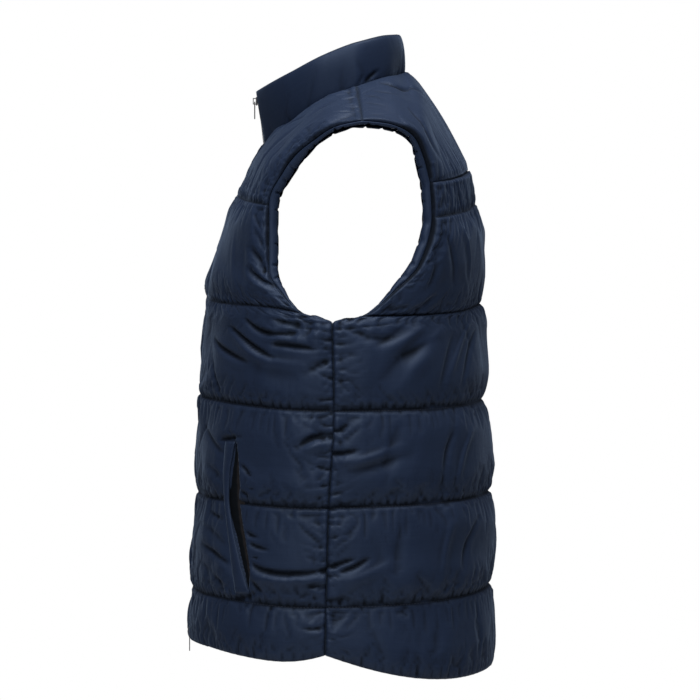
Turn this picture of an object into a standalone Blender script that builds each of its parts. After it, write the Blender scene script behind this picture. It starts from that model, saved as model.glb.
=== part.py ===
"""A padded waistcoat with a stand collar, shaped by a wearer who isn't there.

Metres. X runs to the wearer's left, Y to the back, Z up. The origin lies between the middles
of the two shoulder seams, where the garment is held up. Every panel is a padded wall: a plain
lining inside, and shell cloth outside that swells between its quilting lines and is pinched
down at each line and seam.
"""

import math
from collections import namedtuple

import bmesh
import bpy
import numpy as np

# Wall of a padded panel
QUILTED_DEPTH = 0.0028  # from the lining to the shell where a quilting line pinches the wall
SEWN_DEPTH = 0.0015  # the same at a sewn edge
HEM_DEPTH = 0.0050  # the same at the folded hem
TOP_EDGE_DEPTH = 0.0046  # the same at the collar's folded top edge
ZIP_SWELL = 0.62  # how much of the swelling is left beside the zip
EDGE_RISE = 0.026  # distance from a sewn edge at which the swelling is full
SEAM_GAP = 0.0003
LINING_STEP = 3  # shell columns (and rows below the arms) to each one of the plain lining
SWELL_ROUNDNESS = 0.62  # under 1, a channel's swelling rises steeply beside its lines
EDGE_ROUNDNESS = 0.8  # the same beside a sewn edge
ZIP_REACH = 0.45  # share of a front row over which the swelling beside the zip fills out
NECK_REACH = 0.3  # share of a front row that the corner between zip and neck shapes
GATHER_REACH = 0.024  # how far a gather runs from its line
GATHER_START = 0.010  # how soon it reaches its full depth
GATHER_SHIFT = 0.035  # how unevenly the gathers are spaced, as a share of the row
GATHER_BEAT = 1.7  # waves of that unevenness along a row
SIDE_BEAT = 0.3  # how the two sides differ in it

# Front opening
ZIP_HALF_GAP = 0.0040  # from the centre line to each front edge
TAPE_WIDTH = 0.0140
TAPE_BACK = 0.0019  # behind the lining's line at the front edge
TAPE_FRONT = 0.0009
CHAIN_WIDTH = 0.0027
CHAIN_FRONT = -0.0022
TAPE_IN_COLLAR = 0.0036
SLIDER_WIDTH = 0.0072
SLIDER_HEIGHT = 0.0095
SLIDER_THICKNESS = 0.0020
BRIDGE_WIDTH = 0.0018
BRIDGE_LENGTH = 0.0072
BRIDGE_RISE = 0.0023
BRIDGE_BAR = 0.0010
BRIDGE_ROOT = 0.0010  # how deep its feet go into the plate
SLIDER_ROUND = 0.0006
PULL_BAR = 0.0012
PULL_HOLE_WIDTH = 0.0030
PULL_HOLE_LENGTH = 0.0030
PULL_HOLE_DEPTH = 0.0040
PULL_ROUND = 0.0003
TAPE_START = 0.0020  # from the hem to the lower end of the tapes
TAPE_STOP = 0.0040  # from the neck seam to the last row of tape below it

# A row of a panel runs from the centre (or the neck seam) to the side seam (or the armhole).
# cx cy cz: its start. ex ey ez: its end. lead: how far it runs straight across from its start.
# turn: degrees that it has turned towards the side at its end. tail: how long that holds.
# bow: how far its middle lies above the slope between its ends. rows: grid rows up to the next
# section. puff: swelling of the channel above, where a quilting line or seam runs along it.
# gathers and gather: how many small gathers it pulls into each half of the panel, how deep.
Section = namedtuple(
    "Section", "name cx cy cz ex ey ez lead turn tail bow rows puff gathers gather"
)

FRONT = [
    Section("hem", 0, -0.1845, -0.5958, 0.1960, -0.0390, -0.6130, 0.120, 90, 0.092, -0.010, 4,
            0.0045, 0, 0),
    Section("hip line", 0, -0.1875, -0.5376, 0.1985, -0.0380, -0.5607, 0.122, 90, 0.094, -0.003,
            6, 0.0075, 8, 0.0012),
    Section("pocket line", 0, -0.1790, -0.4323, 0.2015, -0.0350, -0.4501, 0.122, 90, 0.090,
            -0.003, 6, 0.0075, 8, 0.0014),
    Section("waist line", 0, -0.1765, -0.3226, 0.2035, -0.0290, -0.3424, 0.120, 90, 0.090,
            -0.002, 5, 0.0070, 8, 0.0012),
    Section("underarm", 0, -0.1690, -0.2330, 0.2030, -0.0310, -0.2465, 0.118, 90, 0.080, 0, 2,
            None, 0, 0),
    Section("chest line", 0, -0.1698, -0.2139, 0.1965, -0.0645, -0.2345, 0.115, 74, 0.060, 0.004,
            2, 0.0066, 8, 0.0016),
    Section("low chest", 0, -0.1630, -0.1900, 0.1835, -0.0860, -0.2125, 0.108, 66, 0.048, 0.002,
            2, None, 0, 0),
    Section("chest", 0, -0.1545, -0.1600, 0.1735, -0.1010, -0.1860, 0.100, 58, 0.036, 0, 3,
            None, 0, 0),
    Section("upper line", 0, -0.1325, -0.1019, 0.1665, -0.1010, -0.1126, 0.075, 42, 0.030, 0, 2,
            0.0055, 8, 0.0020),
    Section("neck front", 0, -0.1058, -0.0459, 0.1715, -0.0845, -0.0755, 0.060, 34, 0.034, 0, 2,
            None, 0, 0),
    Section("neck curve", 0.0310, -0.0920, -0.0325, 0.1765, -0.0700, -0.0565, 0.050, 28, 0.034,
            0, 2, None, 0, 0),
    Section("neck side", 0.0580, -0.0720, -0.0175, 0.1850, -0.0520, -0.0420, 0.040, 20, 0.036,
            0, 2, None, 0, 0),
    Section("strap", 0.0780, -0.0370, 0.0075, 0.1980, -0.0260, -0.0260, 0.040, 10, 0.040, 0, 3,
            None, 0, 0),
    Section("shoulder seam", 0.0820, -0.0034, 0.0188, 0.2070, 0.0020, -0.0197, 0.040, 0, 0.042,
            0, 0, 0, 6, 0.0008),
]

BACK = [
    Section("hem", 0, 0.1415, -0.6270, 0.1960, -0.0390, -0.6130, 0.118, 90, 0.112, -0.021, 4,
            0.0050, 0, 0),
    Section("hip line", 0, 0.1425, -0.5342, 0.1985, -0.0380, -0.5607, 0.118, 90, 0.112, -0.005,
            6, 0.0075, 7, 0.0012),
    Section("pocket line", 0, 0.1415, -0.4312, 0.2015, -0.0350, -0.4501, 0.118, 90, 0.110,
            -0.003, 6, 0.0075, 7, 0.0014),
    Section("waist line", 0, 0.1350, -0.3287, 0.2035, -0.0290, -0.3424, 0.118, 90, 0.106,
            -0.003, 5, 0.0075, 7, 0.0012),
    Section("underarm", 0, 0.1325, -0.2390, 0.2030, -0.0310, -0.2465, 0.116, 90, 0.096, 0, 2,
            None, 0, 0),
    Section("blade line", 0, 0.1310, -0.2218, 0.1965, 0.0040, -0.2370, 0.112, 76, 0.072,
            -0.003, 2, 0.0070, 7, 0.0014),
    Section("low blades", 0, 0.1295, -0.1950, 0.1860, 0.0400, -0.2070, 0.106, 66, 0.056,
            0, 2, None, 0, 0),
    Section("blades", 0, 0.1275, -0.1640, 0.1770, 0.0655, -0.1790, 0.100, 56, 0.044, 0, 2,
            None, 0, 0),
    Section("upper line", 0, 0.1230, -0.1120, 0.1690, 0.0795, -0.1265, 0.085, 40, 0.034, 0, 3,
            0.0034, 7, 0.0016),
    Section("yoke seam", 0, 0.1160, -0.0750, 0.1690, 0.0775, -0.0883, 0.080, 38, 0.034, 0, 0,
            0.0048, 7, 0.0026),
]

YOKE = [
    Section("yoke seam", 0, 0.1160, -0.0750, 0.1690, 0.0775, -0.0883, 0.080, 38, 0.034, 0, 3,
            0.0048, 7, 0.0020),
    Section("yoke", 0, 0.0872, -0.0200, 0.1730, 0.0705, -0.0610, 0.060, 26, 0.036, 0.004, 3,
            None, 0, 0),
    Section("neck back", 0, 0.0512, 0.0345, 0.1825, 0.0590, -0.0370, 0.045, 12, 0.040, 0.006, 3,
            None, 0, 0),
    Section("neck side", 0.0540, 0.0330, 0.0300, 0.1960, 0.0330, -0.0235, 0.040, 4, 0.040, 0.002,
            3, None, 0, 0),
    Section("shoulder seam", 0.0820, -0.0034, 0.0188, 0.2070, 0.0020, -0.0197, 0.040, 0, 0.042,
            0, 0, 0, 6, 0.0008),
]

UNDERARM = 4  # section at the top of the side seam
NECK_FRONT = 9  # section of a front that meets the collar at the zip
NECK_BACK = 2  # section of the yoke that meets the collar at the nape
FRONT_BOW_AT = 0.80  # share of a front row at which its bow is deepest
BACK_BOW_AT = 0.60
ROW_STEPS = 240  # short steps in which a row's length is measured
FRONT_COLUMNS = 24
BACK_COLUMNS = 21
YOKE_COLUMNS = 21
WHOLE = 10_000  # open_rows of a panel that has no edge in its middle


def smooth(stations, values, wanted):
    """Values at the wanted stations, eased between the given ones without overshooting."""
    stations = np.asarray(stations, float)
    values = np.asarray(values, float)
    wanted = np.clip(np.asarray(wanted, float), stations[0], stations[-1])
    wide = (slice(None),) + (None,) * (values.ndim - 1)
    steps = np.diff(stations)
    slopes = np.diff(values, axis=0) / steps[wide]
    tangents = np.empty_like(values)
    tangents[0] = slopes[0]
    tangents[-1] = slopes[-1]
    before = (2 * steps[1:] + steps[:-1])[wide]
    after = (steps[1:] + 2 * steps[:-1])[wide]
    agree = slopes[:-1] * slopes[1:] > 0
    low = np.where(agree, slopes[:-1], 1.0)
    high = np.where(agree, slopes[1:], 1.0)
    tangents[1:-1] = np.where(agree, (before + after) / (before / low + after / high), 0.0)
    spot = np.clip(np.searchsorted(stations, wanted, side="right") - 1, 0, len(steps) - 1)
    part = ((wanted - stations[spot]) / steps[spot])[wide]
    step = steps[spot][wide]
    rise = part * part * (3 - 2 * part)
    leave = part * (1 - part) ** 2 * step
    arrive = part * part * (part - 1) * step
    return (
        values[spot] * (1 - rise)
        + values[spot + 1] * rise
        + tangents[spot] * leave
        + tangents[spot + 1] * arrive
    )


def ease(share):
    """0 to 1 with a soft start and end."""
    share = np.clip(share, 0.0, 1.0)
    return share * share * (3 - 2 * share)


def section_row(section, facing, shares, start_gap, end_gap, bow_at):
    """Points of one section at the given shares of its length. facing: -1 front, 1 back."""
    start = np.array((section.cx, section.cy))
    end = np.array((section.ex, section.ey))
    angle = math.radians(section.turn)
    lead = start + np.array((section.lead, 0.0))
    tail = end - section.tail * np.array((math.cos(angle), -facing * math.sin(angle)))
    fine = np.linspace(0.0, 1.0, ROW_STEPS + 1)[:, None]
    path = (
        start * (1 - fine) ** 3
        + lead * 3 * (1 - fine) ** 2 * fine
        + tail * 3 * (1 - fine) * fine**2
        + end * fine**3
    )
    lengths = np.concatenate(([0], np.cumsum(np.hypot(*np.diff(path, axis=0).T))))
    reach = start_gap + shares * (lengths[-1] - start_gap - end_gap)
    across = np.interp(reach, lengths, path[:, 0])
    depth = np.interp(reach, lengths, path[:, 1])
    share = reach / lengths[-1]
    bend = np.sin(math.pi * share ** (math.log(0.5) / math.log(bow_at)))
    height = section.cz + (section.ez - section.cz) * share + section.bow * bend
    return np.stack((across, depth, height), axis=1)


def row_stations(table):
    """Where each section lies along its panel, as a mean distance from the first."""
    starts = np.array([(s.cx, s.cy, s.cz) for s in table])
    ends = np.array([(s.ex, s.ey, s.ez) for s in table])
    steps = np.linalg.norm(np.diff(starts, axis=0), axis=1)
    steps = (steps + np.linalg.norm(np.diff(ends, axis=0), axis=1)) / 2
    return np.concatenate(([0], np.cumsum(steps)))


def grid_stations(table):
    """Stations of the shell's grid rows, each section's own among them."""
    stations = row_stations(table)
    rows = []
    for index, section in enumerate(table[:-1]):
        count = max(section.rows, 1)
        for k in range(count):
            rows.append(stations[index] + (stations[index + 1] - stations[index]) * k / count)
    rows.append(stations[-1])
    return np.array(rows)


def lining_rows(table):
    """Which of the shell's rows the lining shares: each one above the underarm."""
    rows = np.arange(len(grid_stations(table)))
    if table[0].name != "hem":
        return rows
    underarm = sum(section.rows for section in table[:UNDERARM])
    return rows[(rows % LINING_STEP == 0) & (rows < underarm) | (rows >= underarm)]


def lining_points(table, facing, stations, shares, start_gap, bow_at):
    """The lining's points, one row for each station."""
    given = [
        section_row(s, facing, shares, start_gap if s.cx == 0 else SEAM_GAP / 2, SEAM_GAP / 2,
                    bow_at)
        for s in table
    ]
    places = row_stations(table)
    points = smooth(places, np.array(given), stations)
    if table is FRONT:
        # The front edge turns a corner into the neck seam.
        above = stations >= places[NECK_FRONT]
        corner = smooth(places[NECK_FRONT:], np.array(given)[NECK_FRONT:], stations[above])
        near = (1 - ease(shares / NECK_REACH))[None, :, None]
        points[above] += (corner - points[above]) * near
    if table[0].name != "hem":
        return points
    # Both panels end on the same side seam, half a seam gap apart from it.
    seam = np.array([(s.ex, s.ey, s.ez) for s in table[: UNDERARM + 1]])
    seam_places = np.concatenate(
        ([0], np.cumsum(np.linalg.norm(np.diff(seam, axis=0), axis=1)))
    )
    spots = np.interp(stations, places, np.arange(len(table)))
    low = spots <= UNDERARM
    wanted = np.interp(spots[low], np.arange(UNDERARM + 1), seam_places)
    target = smooth(seam_places, seam, wanted) + np.array((0.0, facing * SEAM_GAP / 2, 0.0))
    ends = smooth(
        places,
        np.array([section_row(s, facing, np.ones(1), 0.0, SEAM_GAP / 2, bow_at)[0]
                  for s in table]),
        stations[low],
    )
    points[low] += (target - ends)[:, None] * (shares**4)[None, :, None]
    return points


def outward(points, facing):
    """Unit normals of a grid of points that face away from the wearer."""
    along = np.gradient(points, axis=1)
    up = np.gradient(points, axis=0)
    normal = np.cross(along, up)
    normal *= -facing
    normal /= np.linalg.norm(normal, axis=2, keepdims=True)
    return normal


def channel_swell(table, stations):
    """Swelling of each grid row, between 0 at a line and the channel's own puff."""
    places = row_stations(table)
    lines = [(place, s) for place, s in zip(places, table) if s.puff is not None]
    swell = np.zeros(len(stations))
    for (low, section), (high, _) in zip(lines[:-1], lines[1:]):
        share = np.clip((stations - low) / (high - low), 0, 1)
        round_top = (4 * share * (1 - share)) ** SWELL_ROUNDNESS
        inside = (stations >= low) & (stations <= high)
        swell = np.where(inside, section.puff * round_top, swell)
    return swell


def gather_depth(table, stations, shares, side):
    """How far the gathers at each line draw the shell in, by row and column."""
    places = row_stations(table)
    drawn = np.zeros((len(stations), len(shares)))
    for number, (place, section) in enumerate(zip(places, table)):
        if not section.gathers:
            continue
        beat = GATHER_BEAT + SIDE_BEAT * side
        uneven = GATHER_SHIFT * np.sin(2 * math.pi * shares * beat + number)
        uneven *= np.sin(math.pi * np.clip(shares, 0, 1))
        wave = 0.5 - 0.5 * np.cos(2 * math.pi * section.gathers * (shares + uneven))
        reach = np.exp(-((stations - place) / GATHER_REACH) ** 2)
        off_line = ease(np.abs(stations - place) / GATHER_START)
        drawn += section.gather * wave[None, :] * (reach * off_line)[:, None]
    return drawn


# Creases that pull the shell in, by the depth (y) and height (z) of their ends on one side.
Crease = namedtuple("Crease", "y0 z0 y1 z1 width depth")

LEFT_CREASES = [
    Crease(-0.0639, -0.3765, -0.0277, -0.3677, 0.0080, 0.0030),
    Crease(-0.1155, -0.5083, -0.0354, -0.5138, 0.0080, 0.0030),
    Crease(-0.1254, -0.2415, -0.0738, -0.2546, 0.0080, 0.0024),
    Crease(-0.1408, -0.2502, -0.1045, -0.2810, 0.0080, 0.0024),
    Crease(-0.1198, -0.1624, -0.1067, -0.1855, 0.0080, 0.0024),
    Crease(-0.0277, -0.3864, 0.0000, -0.3853, 0.0080, 0.0030),
    Crease(-0.0189, -0.3996, 0.0437, -0.3787, 0.0090, 0.0028),
    Crease(-0.0222, -0.5160, 0.0053, -0.5027, 0.0080, 0.0030),
    Crease(0.0480, -0.2800, 0.0766, -0.2634, 0.0100, 0.0024),
]

RIGHT_CREASES = [
    Crease(-0.0700, -0.3820, -0.0310, -0.3700, 0.0080, 0.0028),
    Crease(-0.1020, -0.5000, -0.0330, -0.5110, 0.0085, 0.0030),
    Crease(-0.1200, -0.2530, -0.0700, -0.2620, 0.0080, 0.0026),
    Crease(-0.1180, -0.1550, -0.1060, -0.1800, 0.0080, 0.0022),
    Crease(-0.0260, -0.3930, 0.0120, -0.3880, 0.0080, 0.0028),
    Crease(-0.0200, -0.4100, 0.0380, -0.3860, 0.0090, 0.0026),
    Crease(-0.0230, -0.5080, 0.0120, -0.4960, 0.0080, 0.0028),
    Crease(0.0400, -0.2870, 0.0720, -0.2700, 0.0100, 0.0024),
]

# The slanted pocket on each front, by height: where the welt's front edge, its rear edge and
# the rear of the slit behind it lie, front to back.
PocketRow = namedtuple("PocketRow", "z front rear slit")

POCKET = [
    PocketRow(-0.3763, -0.1490, -0.1385, -0.1350),
    PocketRow(-0.3920, -0.1501, -0.1411, -0.1340),
    PocketRow(-0.4144, -0.1512, -0.1445, -0.1329),
    PocketRow(-0.4390, -0.1501, -0.1452, -0.1312),
    PocketRow(-0.4648, -0.1478, -0.1422, -0.1290),
    PocketRow(-0.4928, -0.1445, -0.1366, -0.1248),
    PocketRow(-0.5208, -0.1411, -0.1299, -0.1213),
    PocketRow(-0.5454, -0.1378, -0.1225, -0.1187),
]
POCKET_FLAT = 0.0048  # wall beside and under the welt
POCKET_BLEND = 0.012
WELT_THICKNESS = 0.0028
WELT_LIFT = 0.0010
POCKET_FACING_THICKNESS = 0.0010
POCKET_STATIONS = 13
POCKET_TRIM = 0.0005  # how far inside the pocket's ends its edges are still read
POCKET_GAP = 0.0004  # between the welt and the facing
WELT_EDGE = 0.55  # share of its thickness that the welt has at its edges

# The collar's folded top edge by the share of the neck seam from the zip to the back of the
# neck.
CollarPoint = namedtuple("CollarPoint", "name share x y z")

COLLAR_TOP = [
    CollarPoint("zip", 0.00, 0.0040, -0.1130, 0.0155),
    CollarPoint("throat", 0.14, 0.0330, -0.0975, 0.0245),
    CollarPoint("front quarter", 0.28, 0.0570, -0.0740, 0.0370),
    CollarPoint("side front", 0.46, 0.0720, -0.0400, 0.0548),
    CollarPoint("side", 0.60, 0.0730, -0.0060, 0.0680),
    CollarPoint("side back", 0.78, 0.0520, 0.0260, 0.0765),
    CollarPoint("nape", 1.00, 0.0000, 0.0395, 0.0780),
]
COLLAR_INSET = 0.0034  # its foot stands this far inside the neck seam
COLLAR_COLUMNS = 21
COLLAR_ROWS = 6
COLLAR_PUFF = 0.0036
COLLAR_ROUNDNESS = 0.6
COLLAR_END = 0.0160  # from the zip to the collar's full depth
COLLAR_END_SHARE = 0.12  # share of that depth at the zip itself

# The ruched facing turned in around each armhole
FACING_WIDTH = 0.0135
FACING_SHOWN = 0.0068  # how much of its width shows from the side
FACING_THICKNESS = 0.0016
FACING_GATHERS = 24
FACING_GATHER_DEPTH = 0.0007
FACING_STATIONS = 96
FACING_LOW = -0.2350  # height below which the facing is turned in out of sight
FACING_RISE = 0.0550  # height over which it comes into sight
FACING_LEAST = 0.0004  # how much of it stands proud at the bottom


def crease_depth(points, creases):
    """How far the creases draw each point in."""
    drawn = np.zeros(points.shape[:2])
    spot = points[..., 1:]
    for crease in creases:
        first = np.array((crease.y0, crease.z0))
        way = np.array((crease.y1, crease.z1)) - first
        share = np.clip(((spot - first) @ way) / (way @ way), 0, 1)
        away = np.linalg.norm(spot - first - share[..., None] * way, axis=2)
        swell = 0.35 + 0.65 * np.sin(math.pi * np.clip(share, 0.0, 1.0)) ** 0.7
        drawn += crease.depth * swell * np.exp(-((away / crease.width) ** 2))
    return drawn


def pocket_bounds(z):
    """The pocket's three edges at a height, and how far inside its ends that height lies."""
    heights = [row.z for row in reversed(POCKET)]
    edges = [(row.front, row.rear, row.slit) for row in reversed(POCKET)]
    front, rear, slit = smooth(heights, edges, np.ravel(z)).T.reshape(3, *np.shape(z))
    inside = np.minimum(POCKET[0].z - z, z - POCKET[-1].z)
    return front, rear, slit, inside


def pocket_share(points):
    """1 where the pocket lies flat in the wall, fading to 0 around it."""
    front, _, slit, inside = pocket_bounds(points[..., 2])
    across = np.minimum(points[..., 1] - front, slit - points[..., 1])
    return ease(1 + across / POCKET_BLEND) * ease(1 + inside / POCKET_BLEND)


def half_walls(table, facing, side, columns, start_gap, bow_at, creases, open_rows, edges):
    """Shell and lining points of one half of a panel, on the wearer's left (1) or right (-1).

    open_rows: first grid row whose start is an edge and not the middle of the cloth.
    edges: which of the first and last rows are sewn to another piece.
    """
    walls = []
    for step in (1, LINING_STEP):
        stations = grid_stations(table)
        if step > 1:
            stations = stations[lining_rows(table)]
        shares = np.linspace(0.0, 1.0, columns // step + 1)
        points = lining_points(table, facing, stations, shares, start_gap, bow_at)
        if edges[0]:
            up = points[1] - points[0]
            points[0] += SEAM_GAP / 2 * up / np.linalg.norm(up, axis=1, keepdims=True)
        if edges[1]:
            down = points[-2] - points[-1]
            points[-1] += SEAM_GAP / 2 * down / np.linalg.norm(down, axis=1, keepdims=True)
        if step > 1:
            walls.append(points)
            continue
        normal = outward(points, facing)
        normal[: open_rows + 1, 0, 0] = 0.0
        normal /= np.linalg.norm(normal, axis=2, keepdims=True)
        edge = np.concatenate((points[open_rows:, 0], points[:, -1]))
        away = np.linalg.norm(points[:, :, None] - edge[None, None], axis=3).min(axis=2)
        inset = ease(away / EDGE_RISE) ** EDGE_ROUNDNESS
        line_depth = np.full(len(stations), QUILTED_DEPTH)
        if edges[0]:
            line_depth[0] = SEWN_DEPTH
        else:
            line_depth[0] = HEM_DEPTH
        if edges[1]:
            line_depth[-1] = SEWN_DEPTH
        swell = channel_swell(table, stations)[:, None]
        if facing < 0:
            swell = swell * (ZIP_SWELL + (1 - ZIP_SWELL) * ease(shares / ZIP_REACH))[None, :]
        depth = line_depth[:, None] + swell
        depth = depth - gather_depth(table, stations, shares, side)
        depth = depth - crease_depth(points, creases) * inset
        if facing < 0:
            flat = pocket_share(points)
            depth = depth * (1 - flat) + POCKET_FLAT * flat
        depth = SEWN_DEPTH + (np.maximum(depth, SEWN_DEPTH) - SEWN_DEPTH) * inset
        walls.append(points + normal * depth[..., None])
    shell, lining = walls
    shell[..., 0] *= side
    lining[..., 0] *= side
    return shell, lining


def lining_edge(table, facing, first, share, start_gap, bow_at):
    """The lining's edge points from a section upwards, at the start (0) or end (1) of rows."""
    stations = grid_stations(table)[lining_rows(table)]
    stations = stations[stations > row_stations(table)[first] - 1e-6]
    return lining_points(table, facing, stations, np.full(1, share), start_gap, bow_at)[:, 0]


def neck_curve():
    """The neck seam on the left, from the zip to the back of the neck."""
    front = lining_edge(FRONT, -1, NECK_FRONT, 0.0, ZIP_HALF_GAP, FRONT_BOW_AT)
    yoke = lining_edge(YOKE, 1, NECK_BACK, 0.0, 0.0, BACK_BOW_AT)[::-1]
    return np.concatenate((front, yoke[1:]))


def armhole_curve():
    """The armhole's edge on the left, from the side seam up the front and down the back."""
    front = lining_edge(FRONT, -1, UNDERARM, 1.0, ZIP_HALF_GAP, FRONT_BOW_AT)
    yoke = lining_edge(YOKE, 1, 0, 1.0, 0.0, BACK_BOW_AT)[::-1]
    back = lining_edge(BACK, 1, UNDERARM, 1.0, 0.0, BACK_BOW_AT)[::-1]
    return np.concatenate((front, yoke[1:], back[1:]))


def resampled(path, count, closed):
    """The given number of points evenly along a path."""
    steps = np.linalg.norm(np.diff(path, axis=0), axis=1)
    reach = np.concatenate(([0], np.cumsum(steps)))
    wanted = np.linspace(0, reach[-1], count + 1 if closed else count)
    if closed:
        wanted = wanted[:-1]
    return np.stack([np.interp(wanted, reach, path[:, k]) for k in range(3)], axis=1)


def new_object(name, bm, material, collection):
    """An object from a bmesh, with outward faces."""
    bmesh.ops.recalc_face_normals(bm, faces=bm.faces)
    mesh = bpy.data.meshes.new(name)
    bm.to_mesh(mesh)
    bm.free()
    for face in mesh.polygons:
        face.use_smooth = True
    mesh.materials.append(material)
    item = bpy.data.objects.new(name, mesh)
    collection.objects.link(item)
    return item


def grid_onto(bm, points):
    """Add a grid laid onto points[row][column]. Returns its vertices by row and column."""
    rows = points.shape[0] - 1
    columns = points.shape[1] - 1
    made = bmesh.ops.create_grid(bm, x_segments=columns, y_segments=rows, size=0.5)["verts"]
    placed = {}
    for vertex in made:
        row = round((vertex.co.y + 0.5) * rows)
        column = round((vertex.co.x + 0.5) * columns)
        placed[row, column] = vertex
    for (row, column), vertex in placed.items():
        vertex.co = points[row, column]
    return placed


def loft_edge(bm, many, few, marks):
    """Close the wall between a shell edge and a lining edge that has fewer vertices.

    marks: which of the shell's vertices each of the lining's lies against.
    """
    for k in range(len(few) - 1):
        part = many[marks[k] : marks[k + 1] + 1]
        half = len(part) // 2
        for a, b in zip(part[:half], part[1 : half + 1]):
            bm.faces.new((a, b, few[k]))
        bm.faces.new((part[half], few[k + 1], few[k]))
        for a, b in zip(part[half:-1], part[half + 1 :]):
            bm.faces.new((a, b, few[k + 1]))


def add_walls(bm, shell, lining, marks, open_rows):
    """One half of a padded panel: shell, lining and the closed edges between them.

    marks: the shell rows that the lining shares.
    """
    outer = grid_onto(bm, shell)
    inner = grid_onto(bm, lining)
    rows = shell.shape[0] - 1
    columns = shell.shape[1] - 1
    low_rows = lining.shape[0] - 1
    low_columns = lining.shape[1] - 1
    column_marks = [k * columns // low_columns for k in range(low_columns + 1)]
    for row, low_row in ((0, 0), (rows, low_rows)):
        loft_edge(
            bm,
            [outer[row, k] for k in range(columns + 1)],
            [inner[low_row, k] for k in range(low_columns + 1)],
            column_marks,
        )
    loft_edge(
        bm,
        [outer[k, columns] for k in range(rows + 1)],
        [inner[k, low_columns] for k in range(low_rows + 1)],
        marks,
    )
    if open_rows < rows:
        first = list(marks).index(open_rows)
        loft_edge(
            bm,
            [outer[k, 0] for k in range(open_rows, rows + 1)],
            [inner[k, 0] for k in range(first, low_rows + 1)],
            [mark - open_rows for mark in marks[first:]],
        )


def add_tube(bm, rings, closed):
    """A tube through rings[station][corner], closed end to end or capped."""
    points = np.concatenate((rings, rings[:, :1]), axis=1)
    if closed:
        points = np.concatenate((points, points[:1]))
    placed = grid_onto(bm, points)
    bmesh.ops.remove_doubles(bm, verts=list(placed.values()), dist=1e-6)
    if not closed:
        rims = [edge for edge in bm.edges if edge.is_boundary]
        bmesh.ops.holes_fill(bm, edges=rims, sides=0)


def add_box(bm, centre, size, bevel):
    """A box with rounded edges."""
    made = bmesh.ops.create_cube(bm, size=1.0)["verts"]
    bmesh.ops.scale(bm, vec=size, verts=made)
    bmesh.ops.translate(bm, vec=centre, verts=made)
    edges = {edge for vertex in made for edge in vertex.link_edges}
    bmesh.ops.bevel(
        bm, geom=list(edges), offset=bevel, segments=2, profile=0.5, affect="EDGES",
        material=-1,
    )


def cloth_material(name, colour, roughness, sheen):
    """A plain woven cloth."""
    material = bpy.data.materials.new(name)
    material.use_nodes = True
    shader = material.node_tree.nodes["Principled BSDF"]
    shader.inputs["Base Color"].default_value = (*colour, 1.0)
    shader.inputs["Roughness"].default_value = roughness
    shader.inputs["Sheen Weight"].default_value = sheen
    material.diffuse_color = (*colour, 1.0)
    return material


def metal_material(name, colour, metallic, roughness):
    """A metal or a painted metal."""
    material = bpy.data.materials.new(name)
    material.use_nodes = True
    shader = material.node_tree.nodes["Principled BSDF"]
    shader.inputs["Base Color"].default_value = (*colour, 1.0)
    shader.inputs["Metallic"].default_value = metallic
    shader.inputs["Roughness"].default_value = roughness
    material.diffuse_color = (*colour, 1.0)
    return material


# ---------------------------------------------------------------- a clean scene
for item in list(bpy.data.objects):
    bpy.data.objects.remove(item)
parts = bpy.data.collections.new("padded_waistcoat")
bpy.context.scene.collection.children.link(parts)
cutters = bpy.data.collections.new("cutters")
bpy.context.scene.collection.children.link(cutters)

shell_cloth = cloth_material("navy_shell", (0.018, 0.024, 0.052), 0.45, 0.35)
facing_cloth = cloth_material("navy_facing", (0.015, 0.020, 0.044), 0.50, 0.30)
pocket_cloth = cloth_material("pocket_facing", (0.012, 0.009, 0.009), 0.75, 0.10)
zip_cloth = cloth_material("zip_tape", (0.010, 0.013, 0.030), 0.70, 0.10)
slider_metal = metal_material("gunmetal", (0.30, 0.30, 0.31), 1.0, 0.30)
pull_paint = metal_material("pull_black", (0.012, 0.012, 0.014), 0.2, 0.40)

# ---------------------------------------------------------------- fronts
front_walls = {}
for side, name, creases in (
    (1, "front_left", LEFT_CREASES),
    (-1, "front_right", RIGHT_CREASES),
):
    shell, lining = half_walls(
        FRONT, -1, side, FRONT_COLUMNS, ZIP_HALF_GAP, FRONT_BOW_AT, creases, 0, (False, True)
    )
    front_walls[side] = shell
    bm = bmesh.new()
    add_walls(bm, shell, lining, lining_rows(FRONT), 0)
    new_object(name, bm, shell_cloth, parts)

# ---------------------------------------------------------------- back and yoke
neck_row = sum(section.rows for section in YOKE[:NECK_BACK])
for name, table, columns, open_rows, edges in (
    ("back", BACK, BACK_COLUMNS, WHOLE, (False, True)),
    ("back_yoke", YOKE, YOKE_COLUMNS, neck_row, (True, True)),
):
    bm = bmesh.new()
    for side, creases in ((1, LEFT_CREASES), (-1, RIGHT_CREASES)):
        shell, lining = half_walls(
            table, 1, side, columns, 0.0, BACK_BOW_AT, creases, open_rows, edges
        )
        add_walls(bm, shell, lining, lining_rows(table), open_rows)
    middle = [vertex for vertex in bm.verts if abs(vertex.co.x) < 1e-6]
    bmesh.ops.remove_doubles(bm, verts=middle, dist=1e-6)
    new_object(name, bm, shell_cloth, parts)

# ---------------------------------------------------------------- collar
neck = neck_curve()
steps = np.linalg.norm(np.diff(neck, axis=0), axis=1)
neck_share = np.concatenate(([0], np.cumsum(steps)))
neck_share /= neck_share[-1]


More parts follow.
